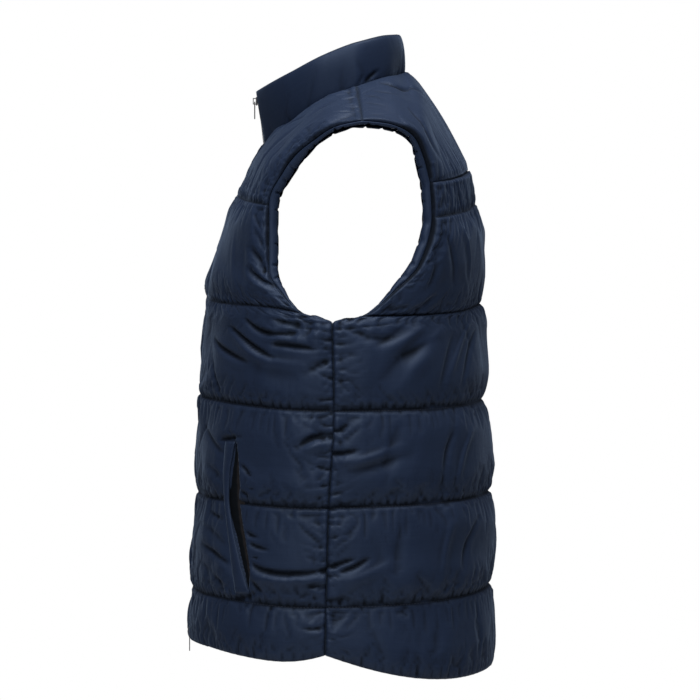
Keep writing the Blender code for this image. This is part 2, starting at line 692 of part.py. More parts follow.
def collar_edges(shares):
    """Bottom and top edge of the collar's lining at shares of the neck seam."""
    fine = np.stack([np.interp(shares, neck_share, neck[:, k]) for k in range(3)], axis=1)
    top_share = [point.share for point in COLLAR_TOP]
    top_share = top_share + [2 - share for share in reversed(top_share[:-1])]
    top = [(point.x, point.y, point.z) for point in COLLAR_TOP]
    top = top + [(-x, y, z) for x, y, z in reversed(top[:-1])]
    top = smooth(top_share, top, shares)
    way = np.gradient(fine, axis=0)
    inward = np.stack((-way[:, 1], way[:, 0]), axis=1)
    inward /= np.linalg.norm(inward, axis=1, keepdims=True)
    bottom = fine.copy()
    bottom[:, :2] += inward * COLLAR_INSET
    bottom[0, 0] = ZIP_HALF_GAP
    bottom[-1, 0] = 0.0
    return bottom, top


def collar_wall(columns, rows):
    """The collar's lining points on the left, from the zip to the nape."""
    shares = np.linspace(0, 1, columns + 1)
    bottom, top = collar_edges(shares)
    heights = np.linspace(0, 1, rows + 1)[:, None, None]
    points = bottom[None] * (1 - heights) + top[None] * heights
    points[:, 0, 0] = ZIP_HALF_GAP
    return points


collar_lining = collar_wall(COLLAR_COLUMNS // LINING_STEP, COLLAR_ROWS // LINING_STEP)
points = collar_wall(COLLAR_COLUMNS, COLLAR_ROWS)
normal = outward(points, -1)
normal[:, -1, 0] = 0.0
normal[:, 0, 0] = 0.0
normal /= np.linalg.norm(normal, axis=2, keepdims=True)
lengths = np.linalg.norm(np.diff(points, axis=1), axis=2)
reach = np.concatenate((np.zeros((COLLAR_ROWS + 1, 1)), np.cumsum(lengths, axis=1)), axis=1)
height = np.linspace(0, 1, COLLAR_ROWS + 1)
edge_depth = SEWN_DEPTH + (TOP_EDGE_DEPTH - SEWN_DEPTH) * ease(height)
depth = edge_depth + COLLAR_PUFF * (4 * height * (1 - height)) ** COLLAR_ROUNDNESS
filled = ease(reach / COLLAR_END + COLLAR_END_SHARE)
depth = SEWN_DEPTH + (depth[:, None] - SEWN_DEPTH) * filled
collar_shell = points + normal * depth[..., None]
bm = bmesh.new()
for side in (1, -1):
    flip = np.array((side, 1, 1))
    add_walls(
        bm,
        collar_shell[:, ::-1] * flip,
        collar_lining[:, ::-1] * flip,
        [0, LINING_STEP, COLLAR_ROWS],
        WHOLE,
    )
middle = [vertex for vertex in bm.verts if abs(vertex.co.x) < 1e-6]
bmesh.ops.remove_doubles(bm, verts=middle, dist=1e-6)
new_object("collar", bm, shell_cloth, parts)

# ---------------------------------------------------------------- armhole facings
armhole = resampled(armhole_curve(), FACING_STATIONS, True)
centre = armhole.mean(axis=0)
along = np.roll(armhole, -1, axis=0) - np.roll(armhole, 1, axis=0)
along /= np.linalg.norm(along, axis=1, keepdims=True)
into = np.cross(along, (1.0, 0.0, 0.0))
into *= np.sign(np.sum(into * (centre - armhole), axis=1))[:, None]
into[:, 0] = 0.0
into /= np.linalg.norm(into, axis=1, keepdims=True)
shown = FACING_SHOWN * ease((armhole[:, 2] - FACING_LOW) / FACING_RISE) + FACING_LEAST
deep = np.sqrt(FACING_WIDTH**2 - shown**2)
band = into * shown[:, None] + np.array((-1.0, 0.0, 0.0)) * deep[:, None]
band /= np.linalg.norm(band, axis=1, keepdims=True)
face = np.cross(along, band)
face *= np.sign(np.sum(face * into, axis=1))[:, None]
for side, name, phase in ((1, "armhole_facing_left", 0.0), (-1, "armhole_facing_right", 0.4)):
    turn = np.linspace(0, 2 * math.pi, FACING_STATIONS, endpoint=False)
    wave = FACING_GATHER_DEPTH * np.sin(FACING_GATHERS * turn + phase)
    wave *= 0.6 + 0.4 * np.sin(5 * turn + phase)
    seat = armhole + into * (SEAM_GAP * 2 + FACING_THICKNESS)
    rings = np.stack(
        (
            seat,
            seat + band * FACING_WIDTH + face * wave[:, None],
            seat + band * FACING_WIDTH + face * (wave - FACING_THICKNESS)[:, None],
            seat - face * FACING_THICKNESS,
        ),
        axis=1,
    )
    rings[..., 0] *= side
    bm = bmesh.new()
    add_tube(bm, rings, True)
    new_object(name, bm, facing_cloth, parts)

# ---------------------------------------------------------------- zip
# Each half is a strip of tape behind the front edge with half of the coil chain raised on it.
zip_rows = grid_stations(FRONT)[lining_rows(FRONT)]
zip_rows = zip_rows[zip_rows < row_stations(FRONT)[NECK_FRONT] - TAPE_STOP]
first_columns = np.array((0.0, LINING_STEP / FRONT_COLUMNS))
lining = lining_points(FRONT, -1, zip_rows, first_columns, ZIP_HALF_GAP, FRONT_BOW_AT)
body_line = lining[:, 0]
body_slope = (lining[:, 1, 1] - lining[:, 0, 1]) / (lining[:, 1, 0] - lining[:, 0, 0])
collar_line = collar_wall(1, COLLAR_ROWS)[:, 0]
collar_count = len(collar_line)
tape_reach = np.concatenate(
    (np.full(len(body_line), TAPE_WIDTH), np.full(collar_count, TAPE_IN_COLLAR))
)
tape_slope = np.concatenate((body_slope, np.zeros(collar_count)))
zip_line = np.concatenate((body_line, collar_line))
zip_line[0, 2] += TAPE_START
zip_line[-1] += (zip_line[-2] - zip_line[-1]) * 0.25
for side, name in ((1, "zip_left"), (-1, "zip_right")):
    rings = []
    for point, reach, slope in zip(zip_line, tape_reach, tape_slope):
        back = slope * (reach - ZIP_HALF_GAP)
        corners = (
            (SEAM_GAP / 2, CHAIN_FRONT),
            (CHAIN_WIDTH, CHAIN_FRONT),
            (CHAIN_WIDTH + 0.0001, TAPE_FRONT),
            (reach, TAPE_FRONT + back),
            (reach, TAPE_BACK + back),
            (SEAM_GAP / 2, TAPE_BACK),
        )
        rings.append([(side * x, point[1] + y, point[2]) for x, y in corners])
    bm = bmesh.new()
    add_tube(bm, np.array(rings), False)
    new_object(name, bm, zip_cloth, parts)


def chain_front(z):
    """Depth of the chain's front face at a height."""
    return float(np.interp(z, zip_line[:, 2], zip_line[:, 1])) + CHAIN_FRONT


def cutter_box(name, centre, size):
    """A hidden box in the cutters collection."""
    bm = bmesh.new()
    made = bmesh.ops.create_cube(bm, size=1.0)["verts"]
    bmesh.ops.scale(bm, vec=size, verts=made)
    bmesh.ops.translate(bm, vec=centre, verts=made)
    item = new_object(name, bm, slider_metal, cutters)
    item.hide_render = True
    item.display_type = "WIRE"
    return item


def add_boolean(item, operation, other):
    """Cut or join another object."""
    change = item.modifiers.new(other.name, "BOOLEAN")
    change.operation = operation
    change.solver = "EXACT"
    change.object = other


# Each slider: a plate on the chain with an arched bridge, and a pull tab hung from the bridge.
Slider = namedtuple("Slider", "end z pull_width pull_length pull_thickness material")

SLIDERS = [
    Slider("top", 0.0042, 0.0056, 0.0195, 0.0012, pull_paint),
    Slider("bottom", -0.5880, 0.0046, 0.0228, 0.0010, slider_metal),
]

for slider in SLIDERS:
    face = chain_front(slider.z) - SEAM_GAP
    for near in (-SLIDER_HEIGHT / 2, SLIDER_HEIGHT / 2):
        face = min(face, chain_front(slider.z + near) - SEAM_GAP)
    plate_front = face - SLIDER_THICKNESS
    bm = bmesh.new()
    add_box(
        bm,
        (0, face - SLIDER_THICKNESS / 2, slider.z),
        (SLIDER_WIDTH, SLIDER_THICKNESS, SLIDER_HEIGHT),
        SLIDER_ROUND,
    )
    body = new_object(f"slider_{slider.end}", bm, slider_metal, parts)
    arch_depth = BRIDGE_RISE + BRIDGE_BAR + BRIDGE_ROOT
    arch = cutter_box(
        f"bridge_{slider.end}",
        (0, plate_front + BRIDGE_ROOT - arch_depth / 2, slider.z),
        (BRIDGE_WIDTH, arch_depth, BRIDGE_LENGTH),
    )
    window = cutter_box(
        f"bridge_window_{slider.end}",
        (0, plate_front - BRIDGE_RISE / 2, slider.z),
        (BRIDGE_WIDTH * 2, BRIDGE_RISE, BRIDGE_LENGTH - 2 * BRIDGE_BAR),
    )
    add_boolean(body, "UNION", arch)
    add_boolean(body, "DIFFERENCE", window)

    axis_y = plate_front - BRIDGE_RISE / 2
    axis_z = slider.z - BRIDGE_LENGTH / 2 + BRIDGE_BAR + PULL_BAR + SEAM_GAP
    bm = bmesh.new()
    add_box(
        bm,
        (0, 0, PULL_BAR / 2 - slider.pull_length / 2),
        (slider.pull_width, slider.pull_thickness, slider.pull_length),
        PULL_ROUND,
    )
    pull = new_object(f"pull_{slider.end}", bm, slider.material, parts)
    pull.location = (0, axis_y, axis_z)
    hole = cutter_box(
        f"pull_hole_{slider.end}",
        (0, axis_y, axis_z - PULL_BAR / 2 - PULL_HOLE_LENGTH / 2),
        (PULL_HOLE_WIDTH, PULL_HOLE_DEPTH, PULL_HOLE_LENGTH),
    )
    add_boolean(pull, "DIFFERENCE", hole)

# ---------------------------------------------------------------- pockets
# A welt lies over the flat place in each front; behind it the slit shows a dark facing.


def spot_on(grid, y, z):
    """Grid place, as (row, column), of the point at a depth and height on a shell."""
    rows = np.arange(grid.shape[0])
    places = np.array(
        [np.interp(z, grid[:, k, 2], rows) for k in range(grid.shape[1])]
    )
    depths = np.array(
        [np.interp(place, rows, grid[:, k, 1]) for k, place in enumerate(places)]
    )
    column = float(np.interp(y, depths, np.arange(grid.shape[1])))
    return float(np.interp(column, np.arange(grid.shape[1]), places)), column


def grid_value(grid, row, column):
    """The point of a grid at a place between its rows and columns."""
    low_row = min(int(row), grid.shape[0] - 2)
    low_column = min(int(column), grid.shape[1] - 2)
    across = column - low_column
    up = row - low_row
    low = grid[low_row, low_column] * (1 - across) + grid[low_row, low_column + 1] * across
    high = grid[low_row + 1, low_column] * (1 - across)
    high = high + grid[low_row + 1, low_column + 1] * across
    return low * (1 - up) + high * up


for side, end in ((1, "left"), (-1, "right")):
    shell = front_walls[side] * np.array((side, 1, 1))
    normal = outward(shell, -1)
    heights = np.linspace(POCKET[0].z, POCKET[-1].z, POCKET_STATIONS)
    for name, first, last, lift, thickness, material in (
        (f"pocket_welt_{end}", 0, 1, WELT_LIFT, WELT_THICKNESS, shell_cloth),
        (f"pocket_facing_{end}", 1, 2, WELT_LIFT, POCKET_FACING_THICKNESS, pocket_cloth),
    ):
        rings = []
        for z in heights:
            inside = min(max(z, POCKET[-1].z + POCKET_TRIM), POCKET[0].z - POCKET_TRIM)
            edges = pocket_bounds(inside)[:3]
            near = edges[first] + (POCKET_GAP if first else 0.0)
            far = edges[last]
            shares = np.linspace(0, 1, 4)
            low = []
            high = []
            for share in shares:
                row, column = spot_on(shell, near + (far - near) * share, z)
                base = grid_value(shell, row, column)
                out = grid_value(normal, row, column)
                out = out / np.linalg.norm(out)
                crown = WELT_EDGE + (1 - WELT_EDGE) * math.sin(math.pi * share)
                swell = crown if first == 0 else 1.0
                low.append(base + out * lift)
                high.append(base + out * (lift + thickness * swell))
            rings.append(low + high[::-1])
        rings = np.array(rings) * np.array((side, 1, 1))
        bm = bmesh.new()
        add_tube(bm, rings, False)
        new_object(name, bm, material, parts)
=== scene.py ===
import math
from collections import namedtuple

import bmesh
import bpy
import numpy as np
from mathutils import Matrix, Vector
from mathutils.kdtree import KDTree


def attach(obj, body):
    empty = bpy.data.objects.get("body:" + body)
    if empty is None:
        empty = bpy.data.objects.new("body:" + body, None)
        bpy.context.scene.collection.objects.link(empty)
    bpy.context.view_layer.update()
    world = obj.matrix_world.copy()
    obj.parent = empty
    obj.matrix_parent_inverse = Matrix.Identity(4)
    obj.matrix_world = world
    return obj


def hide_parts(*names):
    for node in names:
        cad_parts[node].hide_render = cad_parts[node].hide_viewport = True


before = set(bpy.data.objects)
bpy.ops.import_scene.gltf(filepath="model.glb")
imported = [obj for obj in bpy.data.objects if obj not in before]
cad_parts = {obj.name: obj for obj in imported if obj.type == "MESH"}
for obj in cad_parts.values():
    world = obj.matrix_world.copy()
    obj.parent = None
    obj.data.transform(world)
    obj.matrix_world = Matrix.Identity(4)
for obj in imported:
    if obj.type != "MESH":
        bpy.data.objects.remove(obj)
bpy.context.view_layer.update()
scene = bpy.context.scene

# ================================================================ front panels
# Two fronts, each cut in one piece from hem to shoulder: dense navy polyester over loose
# wadding, with a plain black lining. They are quilted through in five rows before they are
# sewn to the back, so the cloth swells between the rows and puckers beside them.

GRID = 0.0036  # spacing of the grid that the cloth is settled on; the finished one is half of it
SEWN_DEPTH = 0.0015  # from the lining to the shell at a seam
THINNEST = 0.0009  # of a padded wall, under its deepest crease
HELD_RELIEF = 0.15  # share of creases and gathers that shows where the wall's edges hold it
SEAM_GAP = 0.00002  # sewn edges all but touch
ZIP_HALF_GAP = 0.0040  # from the middle of the zip to a front's edge
ZIP_SWELL = {1: 0.38, -1: 0.60}  # how much of the swelling is left beside the zip, left and right
ZIP_REACH = 0.40  # share of a row over which it grows to the full swelling
ROLL_ABOVE = 0.0080  # the cloth hangs over a row of stitches, so above it the roll is short
ROLL_BELOW = 0.0280
LIP = 0.42  # share of the rise below a row that happens close to its stitches
LIP_ROLL = 0.0042  # and how close that is
PLEATED_ROLL = 0.9  # how much longer the roll is where a pleat pulls
SEAM_ROLL = 0.0042  # how far the cloth takes to roll up from a seam along a panel's side
SEAM_REST = 0.45  # share of the swelling that is left at that seam
SEAM_PULL = 1.3  # how much longer that roll is where a pucker pulls at the seam
ARMHOLE_PULL = 0.30  # how hard the armhole's edge is pulled, where the side seam has 1
ARMHOLE_LOW = -0.2350  # the height at which the side seam ends
ZIP_ROLL = 0.0120  # how far the cloth takes to roll up from the zip
DOMED = 0.34  # share of the swelling that goes on rising to the middle of a channel
SAG = 0.80  # under 1, a channel is fullest below its middle
LINING_SWELL = 0.16  # how much the lining swells inwards against the shell

# A panel is drawn by cross-sections from its lowest row up. Each runs from the centre (c) to
# the side (e) of the wearer's left half as a smooth curve, which leaves level over lead, and
# arrives over tail at an angle of turn degrees. bow lifts its middle. Where the section is a row
# of stitches or a seam, puff is the swelling above it and pinch the thickness at it.
Section = namedtuple("Section", "name cx cy cz ex ey ez lead turn tail bow puff pinch")

FRONT = [Section(*row) for row in (
    ("hem", 0, -0.1862, -0.5958, 0.1960, -0.0390, -0.6130, 0.120, 90, 0.092, -0.010, 0.0045, 0.0050),
    ("hip line", 0, -0.1852, -0.5376, 0.1985, -0.0380, -0.5607, 0.122, 90, 0.094, -0.003, 0.0075, 0.0011),
    ("pocket line", 0, -0.1790, -0.4323, 0.2015, -0.0350, -0.4501, 0.122, 90, 0.090, -0.003, 0.0075, 0.0011),
    ("waist line", 0, -0.1765, -0.3226, 0.2035, -0.0290, -0.3424, 0.120, 90, 0.090, -0.002, 0.0070, 0.0011),
    ("underarm", 0, -0.1690, -0.2330, 0.2030, -0.0310, -0.2465, 0.118, 90, 0.080, 0, None, None),
    ("chest line", 0, -0.1698, -0.2139, 0.1965, -0.0645, -0.2345, 0.115, 74, 0.060, 0.004, 0.0066, 0.0012),
    ("low chest", 0, -0.1630, -0.1900, 0.1835, -0.0860, -0.2125, 0.108, 66, 0.048, 0.002, None, None),
    ("chest", 0, -0.1545, -0.1600, 0.1735, -0.1010, -0.1860, 0.100, 58, 0.036, 0, None, None),
    ("upper line", 0, -0.1325, -0.1019, 0.1665, -0.1010, -0.1126, 0.075, 42, 0.030, 0, 0.0055, 0.0034),
    ("neck front", 0, -0.1058, -0.0459, 0.1715, -0.0845, -0.0755, 0.060, 34, 0.034, 0, None, None),
    ("neck curve", 0.0310, -0.0920, -0.0325, 0.1765, -0.0700, -0.0565, 0.050, 28, 0.034, 0, None, None),
    ("neck side", 0.0580, -0.0720, -0.0175, 0.1850, -0.0520, -0.0420, 0.040, 20, 0.036, 0, None, None),
    ("strap", 0.0780, -0.0370, 0.0075, 0.1980, -0.0260, -0.0260, 0.040, 10, 0.040, 0, None, None),
    ("shoulder seam", 0.0820, -0.0034, 0.0188, 0.2070, 0.0020, -0.0197, 0.040, 0, 0.042, 0, 0, 0.0015),
)]
UNDERARM = 4  # the section at which the side seam ends
NECK_FRONT = 9  # the section at which the zip ends and the neck seam begins
FRONT_BOW_AT = 0.80  # share of a section's length at which its bow is highest
FRONT_COLUMNS = 80


def ease(share):
    """0 to 1 with a soft start and end."""
    share = np.clip(share, 0.0, 1.0)
    return share * share * (3 - 2 * share)


def rolled(share):
    """0 to 1 as a quarter circle rises: steep beside the stitches, then level."""
    share = np.clip(share, 0.0, 1.0)
    return np.sqrt(1 - (1 - share) ** 2)


def unit(vectors):
    """The same vectors with a length of 1."""
    return vectors / np.linalg.norm(vectors, axis=-1, keepdims=True)


def lengths_along(path):
    """How far each point of a path lies from its start."""
    return np.concatenate(([0], np.cumsum(np.linalg.norm(np.diff(path, axis=0), axis=1))))


def smooth(stations, values, wanted):
    """Values at the wanted stations, eased between the given ones without overshooting."""
    stations = np.asarray(stations, float)
    values = np.asarray(values, float)
    wanted = np.clip(np.asarray(wanted, float), stations[0], stations[-1])
    wide = (slice(None),) + (None,) * (values.ndim - 1)
    steps = np.diff(stations)
    slopes = np.diff(values, axis=0) / steps[wide]
    tangents = np.empty_like(values)
    tangents[0] = slopes[0]
    tangents[-1] = slopes[-1]
    before = (2 * steps[1:] + steps[:-1])[wide]
    after = (steps[1:] + 2 * steps[:-1])[wide]
    agree = slopes[:-1] * slopes[1:] > 0
    low = np.where(agree, slopes[:-1], 1.0)
    high = np.where(agree, slopes[1:], 1.0)
    tangents[1:-1] = np.where(agree, (before + after) / (before / low + after / high), 0.0)
    spot = np.clip(np.searchsorted(stations, wanted, side="right") - 1, 0, len(steps) - 1)
    part = ((wanted - stations[spot]) / steps[spot])[wide]
    step = steps[spot][wide]
    rise = part * part * (3 - 2 * part)
    leave = part * (1 - part) ** 2 * step
    arrive = part * part * (part - 1) * step
    return (
        values[spot] * (1 - rise)
        + values[spot + 1] * rise
        + tangents[spot] * leave
        + tangents[spot + 1] * arrive
    )


def section_row(section, facing, shares, start_gap, end_gap, bow_at):
    """Points of one section at the given shares of its length. facing: -1 front, 1 back."""
    start = np.array((section.cx, section.cy))
    end = np.array((section.ex, section.ey))
    angle = math.radians(section.turn)
    lead = start + np.array((section.lead, 0.0))
    tail = end - section.tail * np.array((math.cos(angle), -facing * math.sin(angle)))
    fine = np.linspace(0.0, 1.0, 241)[:, None]
    path = (
        start * (1 - fine) ** 3
        + lead * 3 * (1 - fine) ** 2 * fine
        + tail * 3 * (1 - fine) * fine**2
        + end * fine**3
    )
    lengths = np.concatenate(([0], np.cumsum(np.hypot(*np.diff(path, axis=0).T))))
    reach = start_gap + shares * (lengths[-1] - start_gap - end_gap)
    across = np.interp(reach, lengths, path[:, 0])
    depth = np.interp(reach, lengths, path[:, 1])
    share = reach / lengths[-1]
    bend = np.sin(math.pi * share ** (math.log(0.5) / math.log(bow_at)))
    height = section.cz + (section.ez - section.cz) * share + section.bow * bend
    return np.stack((across, depth, height), axis=1)


def row_stations(table):
    """Where each section lies along its panel, as a mean distance from the first."""
    starts = np.array([(s.cx, s.cy, s.cz) for s in table])
    ends = np.array([(s.ex, s.ey, s.ez) for s in table])
    steps = np.linalg.norm(np.diff(starts, axis=0), axis=1)
    steps = (steps + np.linalg.norm(np.diff(ends, axis=0), axis=1)) / 2
    return np.concatenate(([0], np.cumsum(steps)))


def grid_stations(table):
    """Stations of the fine rows: an even number of steps between each two sections."""
    places = row_stations(table)
    rows = []
    for low, high in zip(places[:-1], places[1:]):
        count = 2 * max(1, round((high - low) / GRID))
        rows += list(np.linspace(low, high, count, endpoint=False))
    rows.append(places[-1])
    return np.array(rows)


def lining_points(table, facing, stations, shares, start_gap, bow_at):
    """The lining's points on the wearer's left, one row for each station."""
    given = [
        section_row(s, facing, shares, start_gap if s.cx == 0 else SEAM_GAP / 2, SEAM_GAP / 2,
                    bow_at)
        for s in table
    ]
    places = row_stations(table)
    points = smooth(places, np.array(given), stations)
    if table is FRONT:
        # The front edge turns a corner into the neck seam.
        above = stations >= places[NECK_FRONT]
        corner = smooth(places[NECK_FRONT:], np.array(given)[NECK_FRONT:], stations[above])
        near = (1 - ease(shares / 0.3))[None, :, None]
        points[above] += (corner - points[above]) * near
    if table[0].name == "yoke seam":
        # At the centre of the back the yoke runs straight into the neck seam.
        below = stations <= places[NECK_BACK]
        corner = smooth(places[: NECK_BACK + 1], np.array(given)[: NECK_BACK + 1], stations[below])
        near = (1 - ease(shares / 0.4))[None, :, None]
        points[below] += (corner - points[below]) * near
    if table[0].name != "hem":
        return points
    # Both panels end on the same side seam, half a seam gap apart from it.
    seam = np.array([(s.ex, s.ey, s.ez) for s in table[: UNDERARM + 1]])
    seam_places = lengths_along(seam)
    spots = np.interp(stations, places, np.arange(len(table)))
    low = spots <= UNDERARM
    wanted = np.interp(spots[low], np.arange(UNDERARM + 1), seam_places)
    target = smooth(seam_places, seam, wanted) + np.array((0.0, facing * SEAM_GAP / 2, 0.0))
    ends = smooth(
        places,
        np.array([section_row(s, facing, np.ones(1), 0.0, SEAM_GAP / 2, bow_at)[0]
                  for s in table]),
        stations[low],
    )
    points[low] += (target - ends)[:, None] * (shares**4)[None, :, None]
    return points


def outward(points, facing):
    """Unit normals of a grid of points that face away from the wearer."""
    return unit(np.cross(np.gradient(points, axis=1), np.gradient(points, axis=0)) * -facing)


def nearest(points, edge):
    """Distance of each grid point to the nearest of the edge's points."""
    return np.array(
        [np.linalg.norm(row[:, None] - edge[None], axis=2).min(axis=1) for row in points]
    )


def pleats(reach, spacing, width, draw):
    """How hard each place along a seam is pulled, from 0 to 1, in uneven small pleats."""
    pull = np.zeros(len(reach))
    spot = spacing * draw.random()
    while spot < reach[-1]:
        broad = width * draw.uniform(0.7, 1.5)
        pull += draw.uniform(0.2, 1.0) * np.exp(-(((reach - spot) / broad) ** 2))
        spot += spacing * draw.uniform(0.5, 1.6)
    return np.minimum(pull, 1.0)


class Half:
    """One half of a padded panel, as a fine grid over its lining, worked out on the left."""

    def __init__(self, table, facing, side, columns, start_gap, bow_at, open_row, sewn):
        self.table = table
        self.facing = facing
        self.side = side
        self.mirror = np.array((side, 1, 1))
        self.open_row = open_row  # first row that starts at an edge
        self.stations = grid_stations(table)
        self.shares = np.linspace(0, 1, 2 * columns + 1)
        points = lining_points(table, facing, self.stations, self.shares, start_gap, bow_at)
        if sewn[0]:
            up = points[1] - points[0]
            points[0] += SEAM_GAP / 2 * up / np.linalg.norm(up, axis=1, keepdims=True)
        if sewn[1]:
            down = points[-2] - points[-1]
            points[-1] += SEAM_GAP / 2 * down / np.linalg.norm(down, axis=1, keepdims=True)
        self.lining = points
        normal = outward(points, facing)
        normal[: open_row + 1, 0, 0] = 0.0
        self.normal = unit(normal)
        steps = np.linalg.norm(np.diff(points, axis=1), axis=2)
        first = points[:, :1, 0]
        self.across = np.concatenate((first, first + np.cumsum(steps, axis=1)), axis=1)
        self.away_end = nearest(points, points[:, -1])
        self.away_start = np.ones(points.shape[:2])
        if open_row < len(points):
            self.away_start = nearest(points, points[open_row:, 0])
        self.away = np.minimum(self.away_start, self.away_end)
        self.depth = np.zeros(points.shape[:2])
        # 1 along the side seam, less along the armhole, where the cloth is pulled less.
        seamed = ease((ARMHOLE_LOW - points[:, -1:, 2]) / 0.02)
        self.hard = ARMHOLE_PULL + (1 - ARMHOLE_PULL) * seamed
        self.pull = np.zeros((len(points), 1))
        # How dark the painted shade along the seams of the first and last rows is; the one at the yoke
        # hardly shows.
        self.painted_seam_shade = [
            joined * (0.15 if section.name == "yoke seam" else 0.8)
            for joined, section in zip(sewn, (table[0], table[-1]))
        ]
        # Only the hem and the edge beside the zip are folded; the others are sewn to a piece.
        self.free = (not sewn[0], False, facing < 0, False)

    def shell(self):
        """The shell's points, still on the left."""
        return self.lining + self.normal * self.depth[..., None]


def line_places(table):
    """Stations of the rows of stitches and seams, with the swelling above each."""
    return [(place, s) for place, s in zip(row_stations(table), table) if s.puff is not None]


def filled(half, seed, start_roll=ZIP_ROLL):
    """Fill each channel: the cloth rolls up from its rows of stitches and seams, and sags."""
    draw = np.random.default_rng(seed)
    lines = line_places(half.table)
    places = [place for place, _ in lines]
    base = np.interp(half.stations, places, [section.pinch for _, section in lines])
    swell = np.zeros_like(half.depth)
    rows = [int(np.argmin(np.abs(half.stations - place))) for place in places]
    pulls = []
    for row in rows:
        reach = half.across[row] - half.across[row, 0]
        pulls.append((pleats(reach, 0.0075, 0.0020, draw), pleats(reach, 0.0110, 0.0028, draw)))
    for k, (low, section) in enumerate(lines[:-1]):
        high = places[k + 1]
        share = np.clip((half.stations - low) / (high - low), 0, 1)[:, None] ** SAG
        above = np.maximum(half.stations - low, 0)[:, None]
        below = np.maximum(high - half.stations, 0)[:, None]
        lift = np.minimum(above / (ROLL_ABOVE * (1 + PLEATED_ROLL * pulls[k][0])), 1)
        roll = np.sin(math.pi / 2 * lift)
        rise = rolled(below / (ROLL_BELOW * (1 + 0.3 * pulls[k + 1][1])))
        roll = roll * ((1 - LIP) * rise + LIP * rolled(below / LIP_ROLL))
        profile = (1 - DOMED) * roll + DOMED * 4 * share * (1 - share)
        inside = (half.stations >= low) & (half.stations <= high)
        swell[inside] = section.puff * profile[inside]
    across = np.ones(len(half.shares))
    if half.facing < 0:
        least = ZIP_SWELL[half.side]
        across = least + (1 - least) * ease(half.shares / ZIP_REACH)
    half.depth = base[:, None] + swell * across[None, :]
    half.pull = pleats(half.stations, 0.0150, 0.0028, draw)[:, None] * half.hard
    length = SEAM_ROLL * (1 + SEAM_PULL * half.pull)
    edge = SEAM_REST + (1 - SEAM_REST) * rolled(half.away_end / length)
    edge = edge * rolled(half.away_start / start_roll)
    half.depth = SEWN_DEPTH + (half.depth - SEWN_DEPTH) * edge
    return edge


def grid_onto(bm, points, flip):
    """Add a grid laid onto points[row][column]. Returns its vertices by row and column."""
    rows = points.shape[0] - 1
    columns = points.shape[1] - 1
    made = bmesh.ops.create_grid(bm, x_segments=columns, y_segments=rows, size=0.5)["verts"]
    placed = {}
    for vertex in made:
        row = round((vertex.co.y + 0.5) * rows)
        column = round((vertex.co.x + 0.5) * columns)
        placed[row, column] = vertex
    for (row, column), vertex in placed.items():
        vertex.co = points[row, column]
    if flip:
        faces = {face for vertex in made for face in vertex.link_faces}
        bmesh.ops.reverse_faces(bm, faces=list(faces))
    return placed


def joined_halves(bm, grids):
    """Weld the middle columns of the halves of a panel, and keep track of what they become."""
    middle = [vertex for placed in grids for vertex in placed.values() if abs(vertex.co.x) < 1e-6]
    found = bmesh.ops.find_doubles(bm, verts=middle, dist=1e-6)["targetmap"]
    for placed in grids:
        for spot, vertex in placed.items():
            placed[spot] = found.get(vertex, vertex)
    bmesh.ops.weld_verts(bm, targetmap=found)


SETTLE_FRAMES = 30
SETTLE_PRESSURE = 2.5
SETTLE_SLACK = 0.022  # how far from a row of stitches the cloth is loose
SETTLE_MOST = 0.0040  # the most that settling may move the cloth from its fill
SETTLE_BROAD = 0.022  # wider swells than this are left to the fill


def blurred(field, reach):
    """A field over the grid, blurred by about the given distance each way."""
    width = max(1, round(reach / (GRID / 2)))
    weights = np.exp(-np.linspace(-2, 2, 4 * width + 1) ** 2 / 2)
    weights /= weights.sum()
    for axis in (0, 1):
        pad = [(2 * width, 2 * width) if k == axis else (0, 0) for k in (0, 1)]
        wide = np.pad(field, pad, mode="edge")
        field = np.apply_along_axis(np.convolve, axis, wide, weights, "valid")
    return field


def doubled(field):
    """A field of the settling grid at the finished grid's rows and columns."""
    for axis in (0, 1):
        count = field.shape[axis]
        places = np.arange(2 * count - 1) / 2
        field = np.apply_along_axis(
            lambda line: smooth(np.arange(count), line, places), axis, field
        )
    return field


def mesh_of(bm, name):
    """A mesh from a bmesh, which is used up."""
    mesh = bpy.data.meshes.new(name)
    bm.to_mesh(mesh)
    bm.free()
    return mesh


def shown_object(name, data):
    """A new object in the scene."""
    item = bpy.data.objects.new(name, data)
    scene.collection.objects.link(item)
    return item


